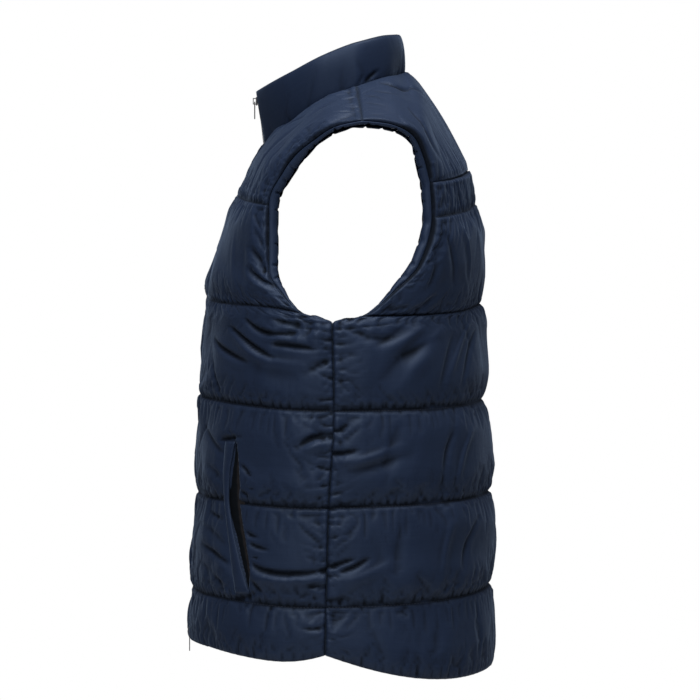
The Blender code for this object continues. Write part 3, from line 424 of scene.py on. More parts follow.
def settle(halves):
    """Let loose cloth settle over the filling, held at its stitches, and take up its creases."""
    bm = bmesh.new()
    grids = []
    for half in halves:
        flip = half.side * half.facing > 0
        grids.append(grid_onto(bm, half.shell()[::2, ::2] * half.mirror, flip))
    joined_halves(bm, grids)
    bm.verts.index_update()
    numbers = [{spot: vertex.index for spot, vertex in placed.items()} for placed in grids]
    mesh = mesh_of(bm, "settling")
    cloth = shown_object("settling", mesh)
    held = cloth.vertex_groups.new(name="held")
    slack = cloth.vertex_groups.new(name="slack")
    for half, places in zip(halves, numbers):
        lines = [place for place, _ in line_places(half.table)]
        for (row, column), number in places.items():
            near = min(abs(half.stations[2 * row] - line) for line in lines)
            sewn = half.away[2 * row, 2 * column] < GRID / 4
            if near < GRID / 4 or sewn:
                held.add([number], 1.0, "REPLACE")
            slack.add([number], math.exp(-((near / SETTLE_SLACK) ** 2)), "REPLACE")
    modifier = cloth.modifiers.new("cloth", "CLOTH")
    settings = modifier.settings
    settings.quality = 4
    settings.mass = 0.15
    settings.tension_stiffness = 20
    settings.compression_stiffness = 20
    settings.shear_stiffness = 8
    settings.bending_stiffness = 0.08
    settings.tension_damping = 10
    settings.compression_damping = 10
    settings.shear_damping = 8
    settings.air_damping = 3
    settings.vertex_group_mass = "held"
    settings.use_pressure = True
    settings.uniform_pressure_force = SETTLE_PRESSURE
    settings.vertex_group_shrink = "slack"
    settings.shrink_min = -0.02
    settings.shrink_max = -0.09
    settings.effector_weights.gravity = 0
    modifier.collision_settings.use_collision = False
    modifier.point_cache.frame_start = 1
    modifier.point_cache.frame_end = SETTLE_FRAMES
    for number in range(1, SETTLE_FRAMES + 1):
        scene.frame_set(number)
    done = cloth.evaluated_get(bpy.context.evaluated_depsgraph_get())
    moved = np.empty(len(done.data.vertices) * 3)
    done.data.vertices.foreach_get("co", moved)
    moved = moved.reshape(-1, 3)
    for half, places in zip(halves, numbers):
        coarse = half.lining[::2, ::2]
        order = np.zeros(coarse.shape[:2], int)
        for spot, number in places.items():
            order[spot] = number
        off = moved[order] * half.mirror - coarse
        lift = np.sum(off * half.normal[::2, ::2], axis=2) - half.depth[::2, ::2]
        lift = doubled(lift)
        lift -= blurred(lift, SETTLE_BROAD)
        half.depth += np.clip(lift, -SETTLE_MOST, SETTLE_MOST)
    bpy.data.objects.remove(cloth)
    bpy.data.meshes.remove(mesh)
    scene.frame_set(1)


# Small pleats that a row of sewing pulls in: how far apart, how far they run above and below
# it, how deep and how broad they are.
Gather = namedtuple("Gather", "line spacing above below pull width")

FRONT_GATHERS = [
    Gather("hem", 0.0150, 0.0160, 0.0, 0.0006, 0.0034),
    Gather("hip line", 0.0095, 0.0120, 0.0070, 0.0017, 0.0024),
    Gather("pocket line", 0.0095, 0.0120, 0.0070, 0.0017, 0.0024),
    Gather("waist line", 0.0090, 0.0130, 0.0070, 0.0018, 0.0024),
    Gather("chest line", 0.0100, 0.0140, 0.0080, 0.0015, 0.0026),
    Gather("upper line", 0.0110, 0.0340, 0.0260, 0.0012, 0.0032),
    Gather("shoulder seam", 0.0100, 0.0, 0.0220, 0.0012, 0.0026),
]


def gathered(half, gathers, seed):
    """Pleats beside each row of sewing, of uneven length, depth and spacing."""
    draw = np.random.default_rng(seed)
    places = dict(zip((s.name for s in half.table), row_stations(half.table)))
    relief = np.zeros_like(half.depth)
    for gather in gathers:
        off_line = half.stations - places[gather.line]
        line_row = int(np.argmin(np.abs(off_line)))
        start = half.across[line_row, 0]
        width = half.across[line_row, -1] - start
        for way, reach in ((1, gather.above), (-1, gather.below)):
            spot = gather.spacing * draw.random()
            while reach and spot < width:
                length = reach * draw.uniform(0.45, 1.35)
                pull = gather.pull * draw.uniform(0.3, 1.3)
                broad = gather.width * draw.uniform(0.7, 1.5)
                lean = draw.uniform(-0.4, 0.4)
                off = way * off_line
                rows = np.flatnonzero((off > 0) & (off < 2.2 * length))
                whole = half.across[rows, -1:] - half.across[rows, :1]
                here = half.across[rows] - half.across[rows, :1]
                away = here - spot / width * whole - lean * off[rows, None]
                fade = np.exp(-((off[rows] / length) ** 1.6)) * ease(off[rows] / 0.004)
                relief[rows] -= pull * np.exp(-((away / broad) ** 2)) * fade[:, None]
                spot += gather.spacing * draw.uniform(0.5, 1.6)
    return relief


# Creases of the side that the photograph shows, placed on it: start, middle and end in
# the photograph's 700 pixel frame, then width and depth in millimetres. A minus makes a ridge.
PhotoCrease = namedtuple("PhotoCrease", "x0 y0 x1 y1 x2 y2 width depth")
PHOTO_PIXEL = 0.00112  # metres
PHOTO_AXIS_X = 360  # pixel of the origin
PHOTO_AXIS_Y = 105

FRONT_CREASES = [PhotoCrease(*row) for row in (
    (251, 248, 258, 259, 264, 271, 4.5, 2.4),
    (249, 267, 256, 277, 275, 286, 4.5, 2.6),
    (272, 319, 288, 322, 304, 326, 3.4, 1.6),
    (246, 319, 263, 331, 294, 332, 3.6, 2.6),
    (231, 327, 248, 342, 272, 357, 3.6, 2.8),
    (214, 339, 227, 350, 246, 361, 3.6, 2.2),
    (273, 344, 290, 345, 315, 349, 3.2, 2.6),
    (308, 372, 323, 363, 337, 360, 5.0, 1.8),
    (240, 338, 262, 358, 300, 365, 7.0, -1.6),
    (262, 322, 290, 338, 330, 330, 6.0, -1.0),
    (212, 355, 216, 380, 226, 400, 5.0, 1.4),
    (299, 445, 314, 437, 335, 435, 4.4, 3.0),
    (304, 452, 318, 445, 335, 443, 6.0, -1.0),
    (251, 560, 275, 570, 328, 568, 3.8, 2.6),
    (252, 573, 280, 579, 326, 577, 6.5, -1.1),
    (305, 586, 314, 584, 324, 584, 3.4, 1.6),
    (240, 464, 244, 468, 250, 473, 2.8, 1.4),
    (240, 489, 244, 492, 250, 496, 2.8, 1.4),
    (245, 529, 250, 532, 257, 535, 2.8, 1.5),
    (250, 541, 257, 544, 268, 547, 2.8, 1.5),
    (252, 578, 256, 584, 262, 589, 2.8, 1.5),
    (211, 510, 216, 514, 223, 518, 3.2, 1.2),
    (203, 542, 215, 552, 229, 562, 4.0, 1.6),
    (216, 574, 220, 579, 226, 584, 3.2, 1.2),
    (205, 425, 212, 440, 224, 455, 4.5, 1.2),
    (206, 462, 214, 470, 223, 482, 5.0, 0.8),
    (200, 521, 212, 530, 226, 545, 5.5, 0.9),
    (198, 560, 209, 569, 222, 586, 5.5, 0.8),
    (292, 96, 318, 84, 345, 79, 4.0, 0.9),
    (262, 150, 292, 118, 340, 97, 5.0, 1.0),
    (250, 190, 262, 160, 300, 124, 6.0, 1.1),
    (268, 146, 282, 130, 304, 116, 3.4, 0.9),
    (330, 91, 343, 92, 357, 89, 2.6, 0.8),
    (357, 84, 358, 100, 361, 119, 1.8, 1.4),
    (345, 93, 351, 94, 357, 93, 2.4, 0.6),
    (340, 100, 350, 99, 358, 98, 2.6, 0.6),
    (338, 106, 349, 105, 360, 104, 2.6, 0.5),
)]

CREASE_OVER = 0.75  # how broad a crease is above its line, where the cloth hangs over it
CREASE_UNDER = 1.35  # and below, where it rises more slowly
CREASE_GAIN = 1.9  # how much deeper a crease is pressed than its table says
CREASE_BREADTH = 0.00084  # metres for each unit of a crease's width


def on_cloth(half, x, y):
    """Where on a panel's left side a pixel of the photograph lies: across it and along it."""
    shell = half.shell()
    wide = shell[..., 1] - (x - PHOTO_AXIS_X) * PHOTO_PIXEL
    high = shell[..., 2] - (PHOTO_AXIS_Y - y) * PHOTO_PIXEL
    miss = wide**2 + high**2 + np.where(half.normal[..., 0] < 0.05, 1.0, 0.0)
    row, column = np.unravel_index(np.argmin(miss), miss.shape)
    return half.across[row, column], half.stations[row]


def creased(half, creases, seed):
    """Troughs and ridges along short curves. On the hidden side they lie a little elsewhere."""
    draw = np.random.default_rng(seed)
    relief = np.zeros_like(half.depth)
    along = np.repeat(half.stations[:, None], half.across.shape[1], axis=1)
    for crease in creases:
        ends = [
            on_cloth(half, x, y)
            for x, y in ((crease.x0, crease.y0), (crease.x1, crease.y1), (crease.x2, crease.y2))
        ]
        start, middle, end = (np.array(place) for place in ends)
        width = crease.width * CREASE_BREADTH
        depth = crease.depth / 1000
        if half.side < 0:
            shift = draw.uniform(-0.007, 0.007, 2)
            start, middle, end = start + shift * 1.3, middle + shift, end + shift * 0.5
            depth *= draw.uniform(0.6, 1.15)
            width *= draw.uniform(0.85, 1.25)
        bend = 2 * middle - (start + end) / 2
        best = np.full(half.depth.shape, 1.0)
        spot = np.zeros(half.depth.shape)
        over = np.zeros(half.depth.shape)
        shares = np.linspace(0, 1, 13)[:, None]
        line = start * (1 - shares) ** 2 + bend * 2 * shares * (1 - shares) + end * shares**2
        for k, (near, far) in enumerate(zip(line[:-1], line[1:])):
            step = far - near
            part = (half.across - near[0]) * step[0] + (along - near[1]) * step[1]
            part = np.clip(part / np.dot(step, step), 0, 1)
            off = along - near[1] - part * step[1]
            away = np.hypot(half.across - near[0] - part * step[0], off)
            closer = away < best
            best = np.where(closer, away, best)
            spot = np.where(closer, (k + part) / (len(line) - 1), spot)
            over = np.where(closer, off, over)
        swell = 0.25 + 0.75 * np.sin(math.pi * spot) ** 0.8
        swell = np.maximum(swell, np.exp(-((half.away_end / 0.009) ** 2)))
        broad = width * np.where(over > 0, CREASE_OVER, CREASE_UNDER)
        trough = np.exp(-((best / broad) ** 2))
        ridge = np.where(over < 0, np.exp(-(((best - 2.3 * width) / (1.2 * width)) ** 2)), 0)
        relief -= CREASE_GAIN * depth * swell * (trough - 0.12 * ridge * (best < 5 * width))
    return relief


def puckered(half, seed):
    """Short sharp wrinkles that run into a panel from the seam down its side."""
    draw = np.random.default_rng(seed)
    relief = np.zeros_like(half.depth)
    along = half.stations[:, None]
    spot = 0.004
    while spot < half.stations[-1]:
        length = draw.uniform(0.005, 0.022)
        width = draw.uniform(0.0013, 0.0026)
        lean = draw.uniform(-0.45, 0.30)
        fade = np.exp(-((half.away_end / length) ** 1.5))
        off = along - spot - lean * half.away_end - 8 * half.away_end**2
        relief -= draw.uniform(0.0007, 0.0030) * np.exp(-((off / width) ** 2)) * fade
        spot += draw.uniform(0.004, 0.016)
    return relief * half.hard


def uneven_fill(half, seed):
    """Wadding lies unevenly: broad low swells, and long soft creases across the channels."""
    draw = np.random.default_rng(seed)
    along = half.stations[:, None]
    relief = np.zeros_like(half.depth)
    for _ in range(16):
        turn = draw.uniform(0, 2 * math.pi)
        wave = draw.uniform(0.045, 0.110)
        phase = draw.uniform(0, 2 * math.pi)
        way = (half.across * math.cos(turn) + along * math.sin(turn)) / wave
        relief += 0.00030 * np.sin(2 * math.pi * way + phase)
    lines = [place for place, _ in line_places(half.table)]
    for low, high in zip(lines[:-1], lines[1:]):
        for _ in range(draw.integers(5, 9)):
            centre = draw.uniform(low, high)
            across = draw.uniform(0.02, float(half.across.max()) - 0.01)
            slant = draw.uniform(-0.55, 0.55)
            length = (high - low) * draw.uniform(0.18, 0.42)
            width = draw.uniform(0.0035, 0.0080)
            lift = draw.choice((-1, 1)) * draw.uniform(0.0003, 0.0011)
            away = half.across - across - slant * (along - centre)
            fade = np.exp(-(((along - centre) / length) ** 2))
            relief += lift * np.exp(-((away / width) ** 2)) * fade
    return relief


def press_in(half, pressed, edge):
    """Add creases and gathers to a filled panel, fewer where its edges hold it down."""
    shown = HELD_RELIEF + (1 - HELD_RELIEF) * edge
    half.depth = np.maximum(half.depth + pressed * shown, THINNEST)


# The slanted pocket on each front, by height: where the welt's front edge, its rear edge and
# the rear of the slit behind it lie, front to back.
PocketRow = namedtuple("PocketRow", "z front rear slit")
POCKET = [
    PocketRow(-0.3763, -0.1490, -0.1385, -0.1372),
    PocketRow(-0.3920, -0.1501, -0.1411, -0.1340),
    PocketRow(-0.4144, -0.1512, -0.1445, -0.1329),
    PocketRow(-0.4390, -0.1501, -0.1452, -0.1312),
    PocketRow(-0.4648, -0.1478, -0.1422, -0.1290),
    PocketRow(-0.4928, -0.1445, -0.1366, -0.1248),
    PocketRow(-0.5208, -0.1411, -0.1299, -0.1213),
    PocketRow(-0.5454, -0.1378, -0.1225, -0.1215),
]
# The ends of the pocket are closed by dense bars of stitches that pucker the cloth.
POCKET_CREASES = [PhotoCrease(*row) for row in (
    (221, 439, 230, 437, 241, 435, 2.4, 1.3),
    (234, 596, 244, 595, 256, 591, 2.4, 1.4),
    (228, 429, 231, 432, 233, 436, 2.0, 0.8),
    (251, 555, 255, 556, 259, 558, 2.0, 0.9),
    (246, 470, 249, 473, 252, 477, 2.0, 0.9),
    (247, 486, 250, 487, 253, 488, 2.0, 0.9),
)]
POCKET_FLAT = 0.0048  # from the lining to the shell under the pocket
POCKET_BLEND = 0.0120  # how far around it the cloth is pressed flat
SLIT_DEPTH = 0.0016  # from the lining to the shell at the bottom of the slit
WELT_SEAM = 0.0026  # how deep the seam in front of the welt is sunk
SLIT_COVER = 0.0042  # how far the cloth behind the slit hangs over it
SLIT_LIP = 0.0030  # how far the cloth behind the slit takes to rise again


def pocket_bounds(z):
    """The pocket's three edges at a height, and how far inside its ends that height lies."""
    heights = [row.z for row in reversed(POCKET)]
    edges = [(row.front, row.rear, row.slit) for row in reversed(POCKET)]
    front, rear, slit = smooth(heights, edges, np.ravel(z)).T.reshape(3, *np.shape(z))
    inside = np.minimum(POCKET[0].z - z, z - POCKET[-1].z)
    return front, rear, slit, inside


def pocketed(half):
    """Press the front flat under its pocket, and open the slit behind the welt."""
    shell = half.shell()
    front, rear, slit, inside = pocket_bounds(shell[..., 2])
    before = shell[..., 1] - front
    behind = slit - SLIT_COVER - shell[..., 1]
    flat = ease(1 + np.minimum(before / POCKET_BLEND, behind / SLIT_LIP))
    flat *= ease(1 + inside / POCKET_BLEND)
    half.depth = half.depth * (1 - flat) + np.minimum(POCKET_FLAT, half.depth) * flat
    # The welt is sewn down all the way, also where a row of stitches passes under it.
    under = ease(before / 0.003) * ease((rear - shell[..., 1]) / 0.003 + 1)
    half.depth += (POCKET_FLAT - half.depth) * under * ease(inside / 0.004)
    open_slit = ease((shell[..., 1] - rear) / 0.002 + 2) * ease(behind / SLIT_LIP + 0.5)
    open_slit *= ease(inside / 0.006)
    half.depth += (SLIT_DEPTH - half.depth) * open_slit
    half.depth -= WELT_SEAM * np.exp(-(((before + 0.0012) / 0.0018) ** 2)) * ease(inside / 0.004)


RIM_ROUND = 0.0011  # how far a folded edge bulges
SEWN_ROUND = 0.00025  # and a sewn one, so that it presses on its neighbour
# Painted shade: the cloth's colour is darkened in creases, under cloth that hangs over, and along seams and
# sewn rows, where shade falls.
PAINTED_SHADE_REACH = 0.0040  # how far around a point the cloth is compared with it, for the painted shade
PAINTED_SHADE_FULL = 0.0011  # a point this much deeper than that cloth is painted fully in shade
PAINTED_HANG_SHADE = 0.75  # how dark the painted shade is under cloth that hangs over
SEAM_PAINTED_SHADE = 0.0009  # how broad the painted shade along a side seam is
SEAM_PAINTED_SHADE_PULLED = 0.0022  # and how much broader where a pucker pulls
ROW_PAINTED_SHADE = 0.0013  # how broad the painted shade along a sewn row is


def painted_shade_of(half):
    """0 to 1: how much painted shade each point gets: more the deeper it lies in a seam or crease, where
    light hardly reaches, under cloth that hangs over it, and beside a seam.
    """
    deeper = blurred(half.depth, PAINTED_SHADE_REACH) - half.depth
    shade = np.clip(deeper / PAINTED_SHADE_FULL, 0, 1)
    # Painted shade under cloth that hangs over, where the cloth drops steeply and faces down.
    hang = np.gradient(half.depth, axis=0) / np.gradient(half.stations)[:, None]
    shade = np.maximum(shade, PAINTED_HANG_SHADE * np.clip((hang - 0.40) / 0.60, 0, 1))
    # Painted shade along the side seam, broader where a pucker pulls, and along the sewn first and last
    # rows.
    seam = np.exp(-((half.away_end / (SEAM_PAINTED_SHADE + SEAM_PAINTED_SHADE_PULLED * half.pull)) ** 2))
    seam *= half.hard * (0.45 + 0.55 * half.pull)
    for dark, row in zip(half.painted_seam_shade, (0, -1)):
        off = np.abs(half.stations - half.stations[row])[:, None]
        seam = np.maximum(seam, dark * np.exp(-((off / ROW_PAINTED_SHADE) ** 2)))
    return np.maximum(shade, seam)


def padded_wall(name, halves, materials):
    """A closed wall: the shell, its folded edges and the lining, which swells a little too."""
    bm = bmesh.new()
    flat = bm.verts.layers.float_vector.new("flat")
    where = bm.verts.layers.int.new("where")
    shells = []
    spots = []
    for half in halves:
        shell = half.shell()
        beyond = np.zeros_like(shell)
        bulge = np.full(shell.shape[:2], SEWN_ROUND)
        opened = slice(half.open_row, None)
        for free, outer, inner in (
            (half.free[0], np.s_[0], np.s_[1]),
            (half.free[1], np.s_[-1], np.s_[-2]),
            (half.free[2], np.s_[opened, 0], np.s_[opened, 1]),
            (half.free[3], np.s_[:, -1], np.s_[:, -2]),
        ):
            beyond[outer] += shell[outer] - shell[inner]
            if free:
                bulge[outer] = RIM_ROUND
        beyond /= np.maximum(np.linalg.norm(beyond, axis=2, keepdims=True), 1e-9)
        beyond *= np.minimum(bulge, 0.35 * half.depth)[..., None]
        painted_shade = painted_shade_of(half)
        placed = grid_onto(bm, shell * half.mirror, False)
        lining = half.lining * half.mirror
        beyond *= half.mirror
        for (row, column), vertex in placed.items():
            spots.append((lining[row, column], beyond[row, column]))
            vertex[where] = len(spots)
            place = (half.side * half.across[row, column], half.stations[row])
            # Its third value carries the painted shade of the point.
            vertex[flat] = (*place, painted_shade[row, column])
        shells.append(placed)
    joined_halves(bm, shells)
    for share in (0.5, 1.0):
        border = [edge for edge in bm.edges if edge.is_boundary]
        made = bmesh.ops.extrude_edge_only(bm, edges=border)["geom"]
        rim = [item for item in made if isinstance(item, bmesh.types.BMVert)]
        for vertex in rim:
            lining, beyond = spots[vertex[where] - 1]
            vertex.co += (Vector(lining) - vertex.co) * share
            if share < 1:
                vertex.co += Vector(beyond)
    before = set(bm.faces)
    linings = []
    for half in halves:
        inward = LINING_SWELL * (half.depth - SEWN_DEPTH) * rolled(half.away / SEAM_ROLL)
        inward[0] = 0
        inward[-1] = 0
        points = (half.lining - half.normal * inward[..., None])[::2, ::2]
        placed = grid_onto(bm, points * half.mirror, False)
        for (row, column), vertex in placed.items():
            across = half.side * half.across[2 * row, 2 * column]
            vertex[flat] = (across, half.stations[2 * row], 0)
        linings.append(placed)
    joined_halves(bm, linings)
    inner = {vertex for placed in linings for vertex in placed.values()}
    border = [edge for edge in bm.edges if edge.is_boundary and edge.verts[0] in inner]
    bmesh.ops.subdivide_edges(bm, edges=border, cuts=1)
    for face in bm.faces:
        if face not in before:
            face.material_index = 1
    border = [vertex for vertex in bm.verts if vertex.is_boundary]
    rim = [vertex for vertex in border if vertex[where]]
    tree = KDTree(len(rim))
    for number, vertex in enumerate(rim):
        tree.insert(vertex.co, number)
    tree.balance()
    pairs = {vertex: rim[tree.find(vertex.co)[1]] for vertex in border if not vertex[where]}
    bmesh.ops.weld_verts(bm, targetmap=pairs)
    bmesh.ops.recalc_face_normals(bm, faces=bm.faces)
    loose = sum(edge.is_boundary for edge in bm.edges)
    if loose:
        print(f"{name}: {loose} open edges")
    return new_piece(name, bm, materials)


def new_piece(name, bm, materials):
    """A smooth piece from a bmesh, with its flat cloth place as a UV map, riding on the vest."""
    mesh = mesh_of(bm, name)
    mesh.shade_smooth()
    for material in materials:
        mesh.materials.append(material)
    if "flat" in mesh.attributes:
        flat = np.empty(len(mesh.vertices) * 3)
        mesh.attributes["flat"].data.foreach_get("vector", flat)
        corners = np.empty(len(mesh.loops), int)
        mesh.loops.foreach_get("vertex_index", corners)
        layer = mesh.uv_layers.new(name="cloth")
        layer.data.foreach_set("uv", flat.reshape(-1, 3)[corners, :2].astype("f").ravel())
        # The painted shade becomes an attribute that darkens the cloth's colour.
        painted_shade = mesh.attributes.new("painted_shade", "FLOAT", "POINT")
        painted_shade.data.foreach_set("value", flat[2::3].astype("f"))
        mesh.attributes.remove(mesh.attributes["flat"])
    if "where" in mesh.attributes:
        mesh.attributes.remove(mesh.attributes["where"])
    item = shown_object(name, mesh)
    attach(item, "vest")
    return item


# The cloth: a dense plain weave with a satin face, crumpled a little by the wadding.
PAINTED_SHADE_COLOUR = (0.0012, 0.0020, 0.0055)  # painted shade: the colour the cloth is given where hardly any light reaches


def socket(group, name, way, kind, default=None):
    """A named socket of a node group."""
    made = group.interface.new_socket(name=name, in_out=way, socket_type=kind)
    if default is not None:
        made.default_value = default
    return made


def linked(tree, pairs):
    """Link output to input for each pair."""
    for source, target in pairs:
        tree.links.new(source, target)


def math_node(tree, operation, first, second=None):
    """A Math node on sockets or numbers. Returns its output."""
    node = tree.nodes.new("ShaderNodeMath")
    node.operation = operation
    for number, value in enumerate((first, second)):
        if value is None:
            continue
        if isinstance(value, (int, float)):
            node.inputs[number].default_value = value
        else:
            tree.links.new(value, node.inputs[number])
    return node.outputs[0]


def colour_mix(tree, first, second):
    """A Mix node between two colours."""
    mix = tree.nodes.new("ShaderNodeMix")
    mix.data_type = "RGBA"
    mix.inputs["A"].default_value = (*first, 1.0)
    mix.inputs["B"].default_value = (*second, 1.0)
    return mix


def bump_node(tree, strength, distance):
    """A Bump node of a strength and a depth in metres."""
    bump = tree.nodes.new("ShaderNodeBump")
    bump.inputs["Strength"].default_value = strength
    bump.inputs["Distance"].default_value = distance
    return bump


def new_material(name):
    """A node material: itself, its tree and its shader."""
    material = bpy.data.materials.new(name)
    material.use_nodes = True
    return material, material.node_tree, material.node_tree.nodes["Principled BSDF"]


def weave_group():
    """Threads of a plain weave as a height and a painted shade, lighter on their crowns and darker between
    them, and the streaks of uneven weft yarn.
    """
    group = bpy.data.node_groups.new("plain_weave", "ShaderNodeTree")
    socket(group, "Vector", "INPUT", "NodeSocketVector")
    socket(group, "Threads per metre", "INPUT", "NodeSocketFloat", 2600.0)
    socket(group, "Height", "OUTPUT", "NodeSocketFloat")
    socket(group, "Shade", "OUTPUT", "NodeSocketFloat")
    socket(group, "Streak", "OUTPUT", "NodeSocketFloat")
    inputs = group.nodes.new("NodeGroupInput")
    outputs = group.nodes.new("NodeGroupOutput")
    parts = group.nodes.new("ShaderNodeSeparateXYZ")
    linked(group, [(inputs.outputs["Vector"], parts.inputs[0])])
    turns = math_node(group, "MULTIPLY", inputs.outputs["Threads per metre"], 2 * math.pi)
    warp = math_node(group, "SINE", math_node(group, "MULTIPLY", parts.outputs["X"], turns))
    weft = math_node(group, "SINE", math_node(group, "MULTIPLY", parts.outputs["Y"], turns))
    height = math_node(group, "MULTIPLY", warp, weft)
    # Painted shade: lighter where the weave's height is greater.
    shade = math_node(group, "MULTIPLY", height, 0.5)
    shade = math_node(group, "ADD", shade, 0.5)
    slow = math_node(group, "MULTIPLY", parts.outputs["X"], 16.0)
    quick = math_node(group, "MULTIPLY", parts.outputs["Y"], 620.0)
    join = group.nodes.new("ShaderNodeCombineXYZ")
    streaks = group.nodes.new("ShaderNodeTexNoise")
    streaks.inputs["Scale"].default_value = 1.0
    streaks.inputs["Detail"].default_value = 2.0
    linked(group, [
        (slow, join.inputs[0]),
        (quick, join.inputs[1]),
        (join.outputs[0], streaks.inputs["Vector"]),
        (height, outputs.inputs["Height"]),
        (shade, outputs.inputs["Shade"]),
        (streaks.outputs["Fac"], outputs.inputs["Streak"]),
    ])
    return group


def crumple_group():
    """Fine soft crumples of light cloth, longer along the piece than across it."""
    group = bpy.data.node_groups.new("soft_crumple", "ShaderNodeTree")
    socket(group, "Vector", "INPUT", "NodeSocketVector")
    socket(group, "Scale", "INPUT", "NodeSocketFloat", 60.0)
    socket(group, "Stretch", "INPUT", "NodeSocketFloat", 0.45)
    socket(group, "Height", "OUTPUT", "NodeSocketFloat")
    socket(group, "Shade", "OUTPUT", "NodeSocketFloat")
    inputs = group.nodes.new("NodeGroupInput")
    outputs = group.nodes.new("NodeGroupOutput")
    parts = group.nodes.new("ShaderNodeSeparateXYZ")
    join = group.nodes.new("ShaderNodeCombineXYZ")
    linked(group, [(inputs.outputs["Vector"], parts.inputs[0])])
    tall = math_node(group, "MULTIPLY", parts.outputs["Y"], inputs.outputs["Stretch"])
    linked(group, [(parts.outputs["X"], join.inputs[0]), (tall, join.inputs[1])])
    coarse = group.nodes.new("ShaderNodeTexNoise")
    coarse.inputs["Detail"].default_value = 2.5
    coarse.inputs["Roughness"].default_value = 0.45
    coarse.inputs["Distortion"].default_value = 0.6
    linked(group, [(join.outputs[0], coarse.inputs["Vector"]),
                   (inputs.outputs["Scale"], coarse.inputs["Scale"])])
    ridge = math_node(group, "SUBTRACT", coarse.outputs["Fac"], 0.5)
    ridge = math_node(group, "ABSOLUTE", ridge)
    ridge = math_node(group, "MULTIPLY", ridge, -1.6)
    height = math_node(group, "ADD", ridge, coarse.outputs["Fac"])
    linked(group, [(height, outputs.inputs["Height"]),
                   (coarse.outputs["Fac"], outputs.inputs["Shade"])])
    return group


WEAVE = weave_group()
CRUMPLE = crumple_group()


def cloth_material(name, dark, light, roughness, sheen, crumple, threads):
    """A woven cloth whose tone, gloss and relief change over its face, with painted shade in its creases and
    seams and between its threads.
    """
    material, tree, shader = new_material(name)
    shader.inputs["Sheen Weight"].default_value = sheen
    shader.inputs["Sheen Roughness"].default_value = 0.35
    shader.inputs["Sheen Tint"].default_value = (0.50, 0.68, 1.00, 1.0)
    shader.inputs["Specular IOR Level"].default_value = 0.30
    shader.inputs["Specular Tint"].default_value = (0.60, 0.76, 1.00, 1.0)
    place = tree.nodes.new("ShaderNodeTexCoord")
    weave = tree.nodes.new("ShaderNodeGroup")
    weave.node_tree = WEAVE
    weave.inputs["Threads per metre"].default_value = threads
    folds = tree.nodes.new("ShaderNodeGroup")
    folds.node_tree = CRUMPLE
    tone = colour_mix(tree, dark, light)
    # Painted shade: the base colour darkens towards the painted shade colour by the per-point painted shade,
    # and the cloth is rougher there.
    painted_shade = tree.nodes.new("ShaderNodeAttribute")
    painted_shade.attribute_name = "painted_shade"
    shaded = colour_mix(tree, dark, PAINTED_SHADE_COLOUR)
    soft = math_node(tree, "MULTIPLY", folds.outputs["Shade"], 0.35)
    # Painted shade of the weave: the cloth is lighter where its threads rise.
    thread = math_node(tree, "MULTIPLY", weave.outputs["Shade"], 0.20)
    streak = math_node(tree, "MULTIPLY", weave.outputs["Streak"], 0.90)
    soft = math_node(tree, "ADD", math_node(tree, "ADD", soft, streak), -0.22)
    gloss = math_node(tree, "MULTIPLY", weave.outputs["Streak"], 0.16)
    gloss = math_node(tree, "ADD", gloss, roughness - 0.08)
    gloss = math_node(tree, "ADD", gloss, math_node(tree, "MULTIPLY", painted_shade.outputs["Fac"], 0.3))
    crumpled = bump_node(tree, crumple, 0.0012)
    woven = bump_node(tree, 0.25, 0.00005)
    linked(tree, [
        (place.outputs["UV"], weave.inputs["Vector"]),
        (place.outputs["UV"], folds.inputs["Vector"]),
        (math_node(tree, "ADD", soft, thread), tone.inputs["Factor"]),
        (tone.outputs["Result"], shaded.inputs["A"]),
        (painted_shade.outputs["Fac"], shaded.inputs["Factor"]),
        (shaded.outputs["Result"], shader.inputs["Base Color"]),
        (gloss, shader.inputs["Roughness"]),
        (folds.outputs["Height"], crumpled.inputs["Height"]),
        (weave.outputs["Height"], woven.inputs["Height"]),
        (crumpled.outputs["Normal"], woven.inputs["Normal"]),
        (woven.outputs["Normal"], shader.inputs["Normal"]),
    ])
    return material


navy_cloth = cloth_material(
    "navy_cloth", (0.0130, 0.0222, 0.0505), (0.0188, 0.0312, 0.0680), 0.46, 0.18, 0.30, 2600
)
lining_cloth = cloth_material(
    "lining_cloth", (0.0045, 0.0048, 0.0058), (0.0070, 0.0074, 0.0086), 0.48, 0.10, 0.30, 2200
)

fronts = {}
for side, name, seed in ((1, "front_left", 11), (-1, "front_right", 23)):
    front = Half(FRONT, -1, side, FRONT_COLUMNS, ZIP_HALF_GAP, FRONT_BOW_AT, 0, (False, True))
    edge = filled(front, seed + 5)
    settle([front])
    pressed = gathered(front, FRONT_GATHERS, seed)
    pressed += creased(front, FRONT_CREASES, seed + 1)
    pressed += puckered(front, seed + 4)
    pressed += uneven_fill(front, seed + 2) * edge
    press_in(front, pressed, edge)
    pocketed(front)
    front.depth = np.maximum(front.depth + creased(front, POCKET_CREASES, seed + 3), THINNEST)
    fronts[side] = front
    wall = padded_wall(f"{name}_quilted", [front], (navy_cloth, lining_cloth))
    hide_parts(name)

# ================================================================ back
# The back is one quilted panel from hem to yoke seam. The yoke is cut smaller, so the back is
# gathered into it, and a row of stitches below the seam holds those gathers.

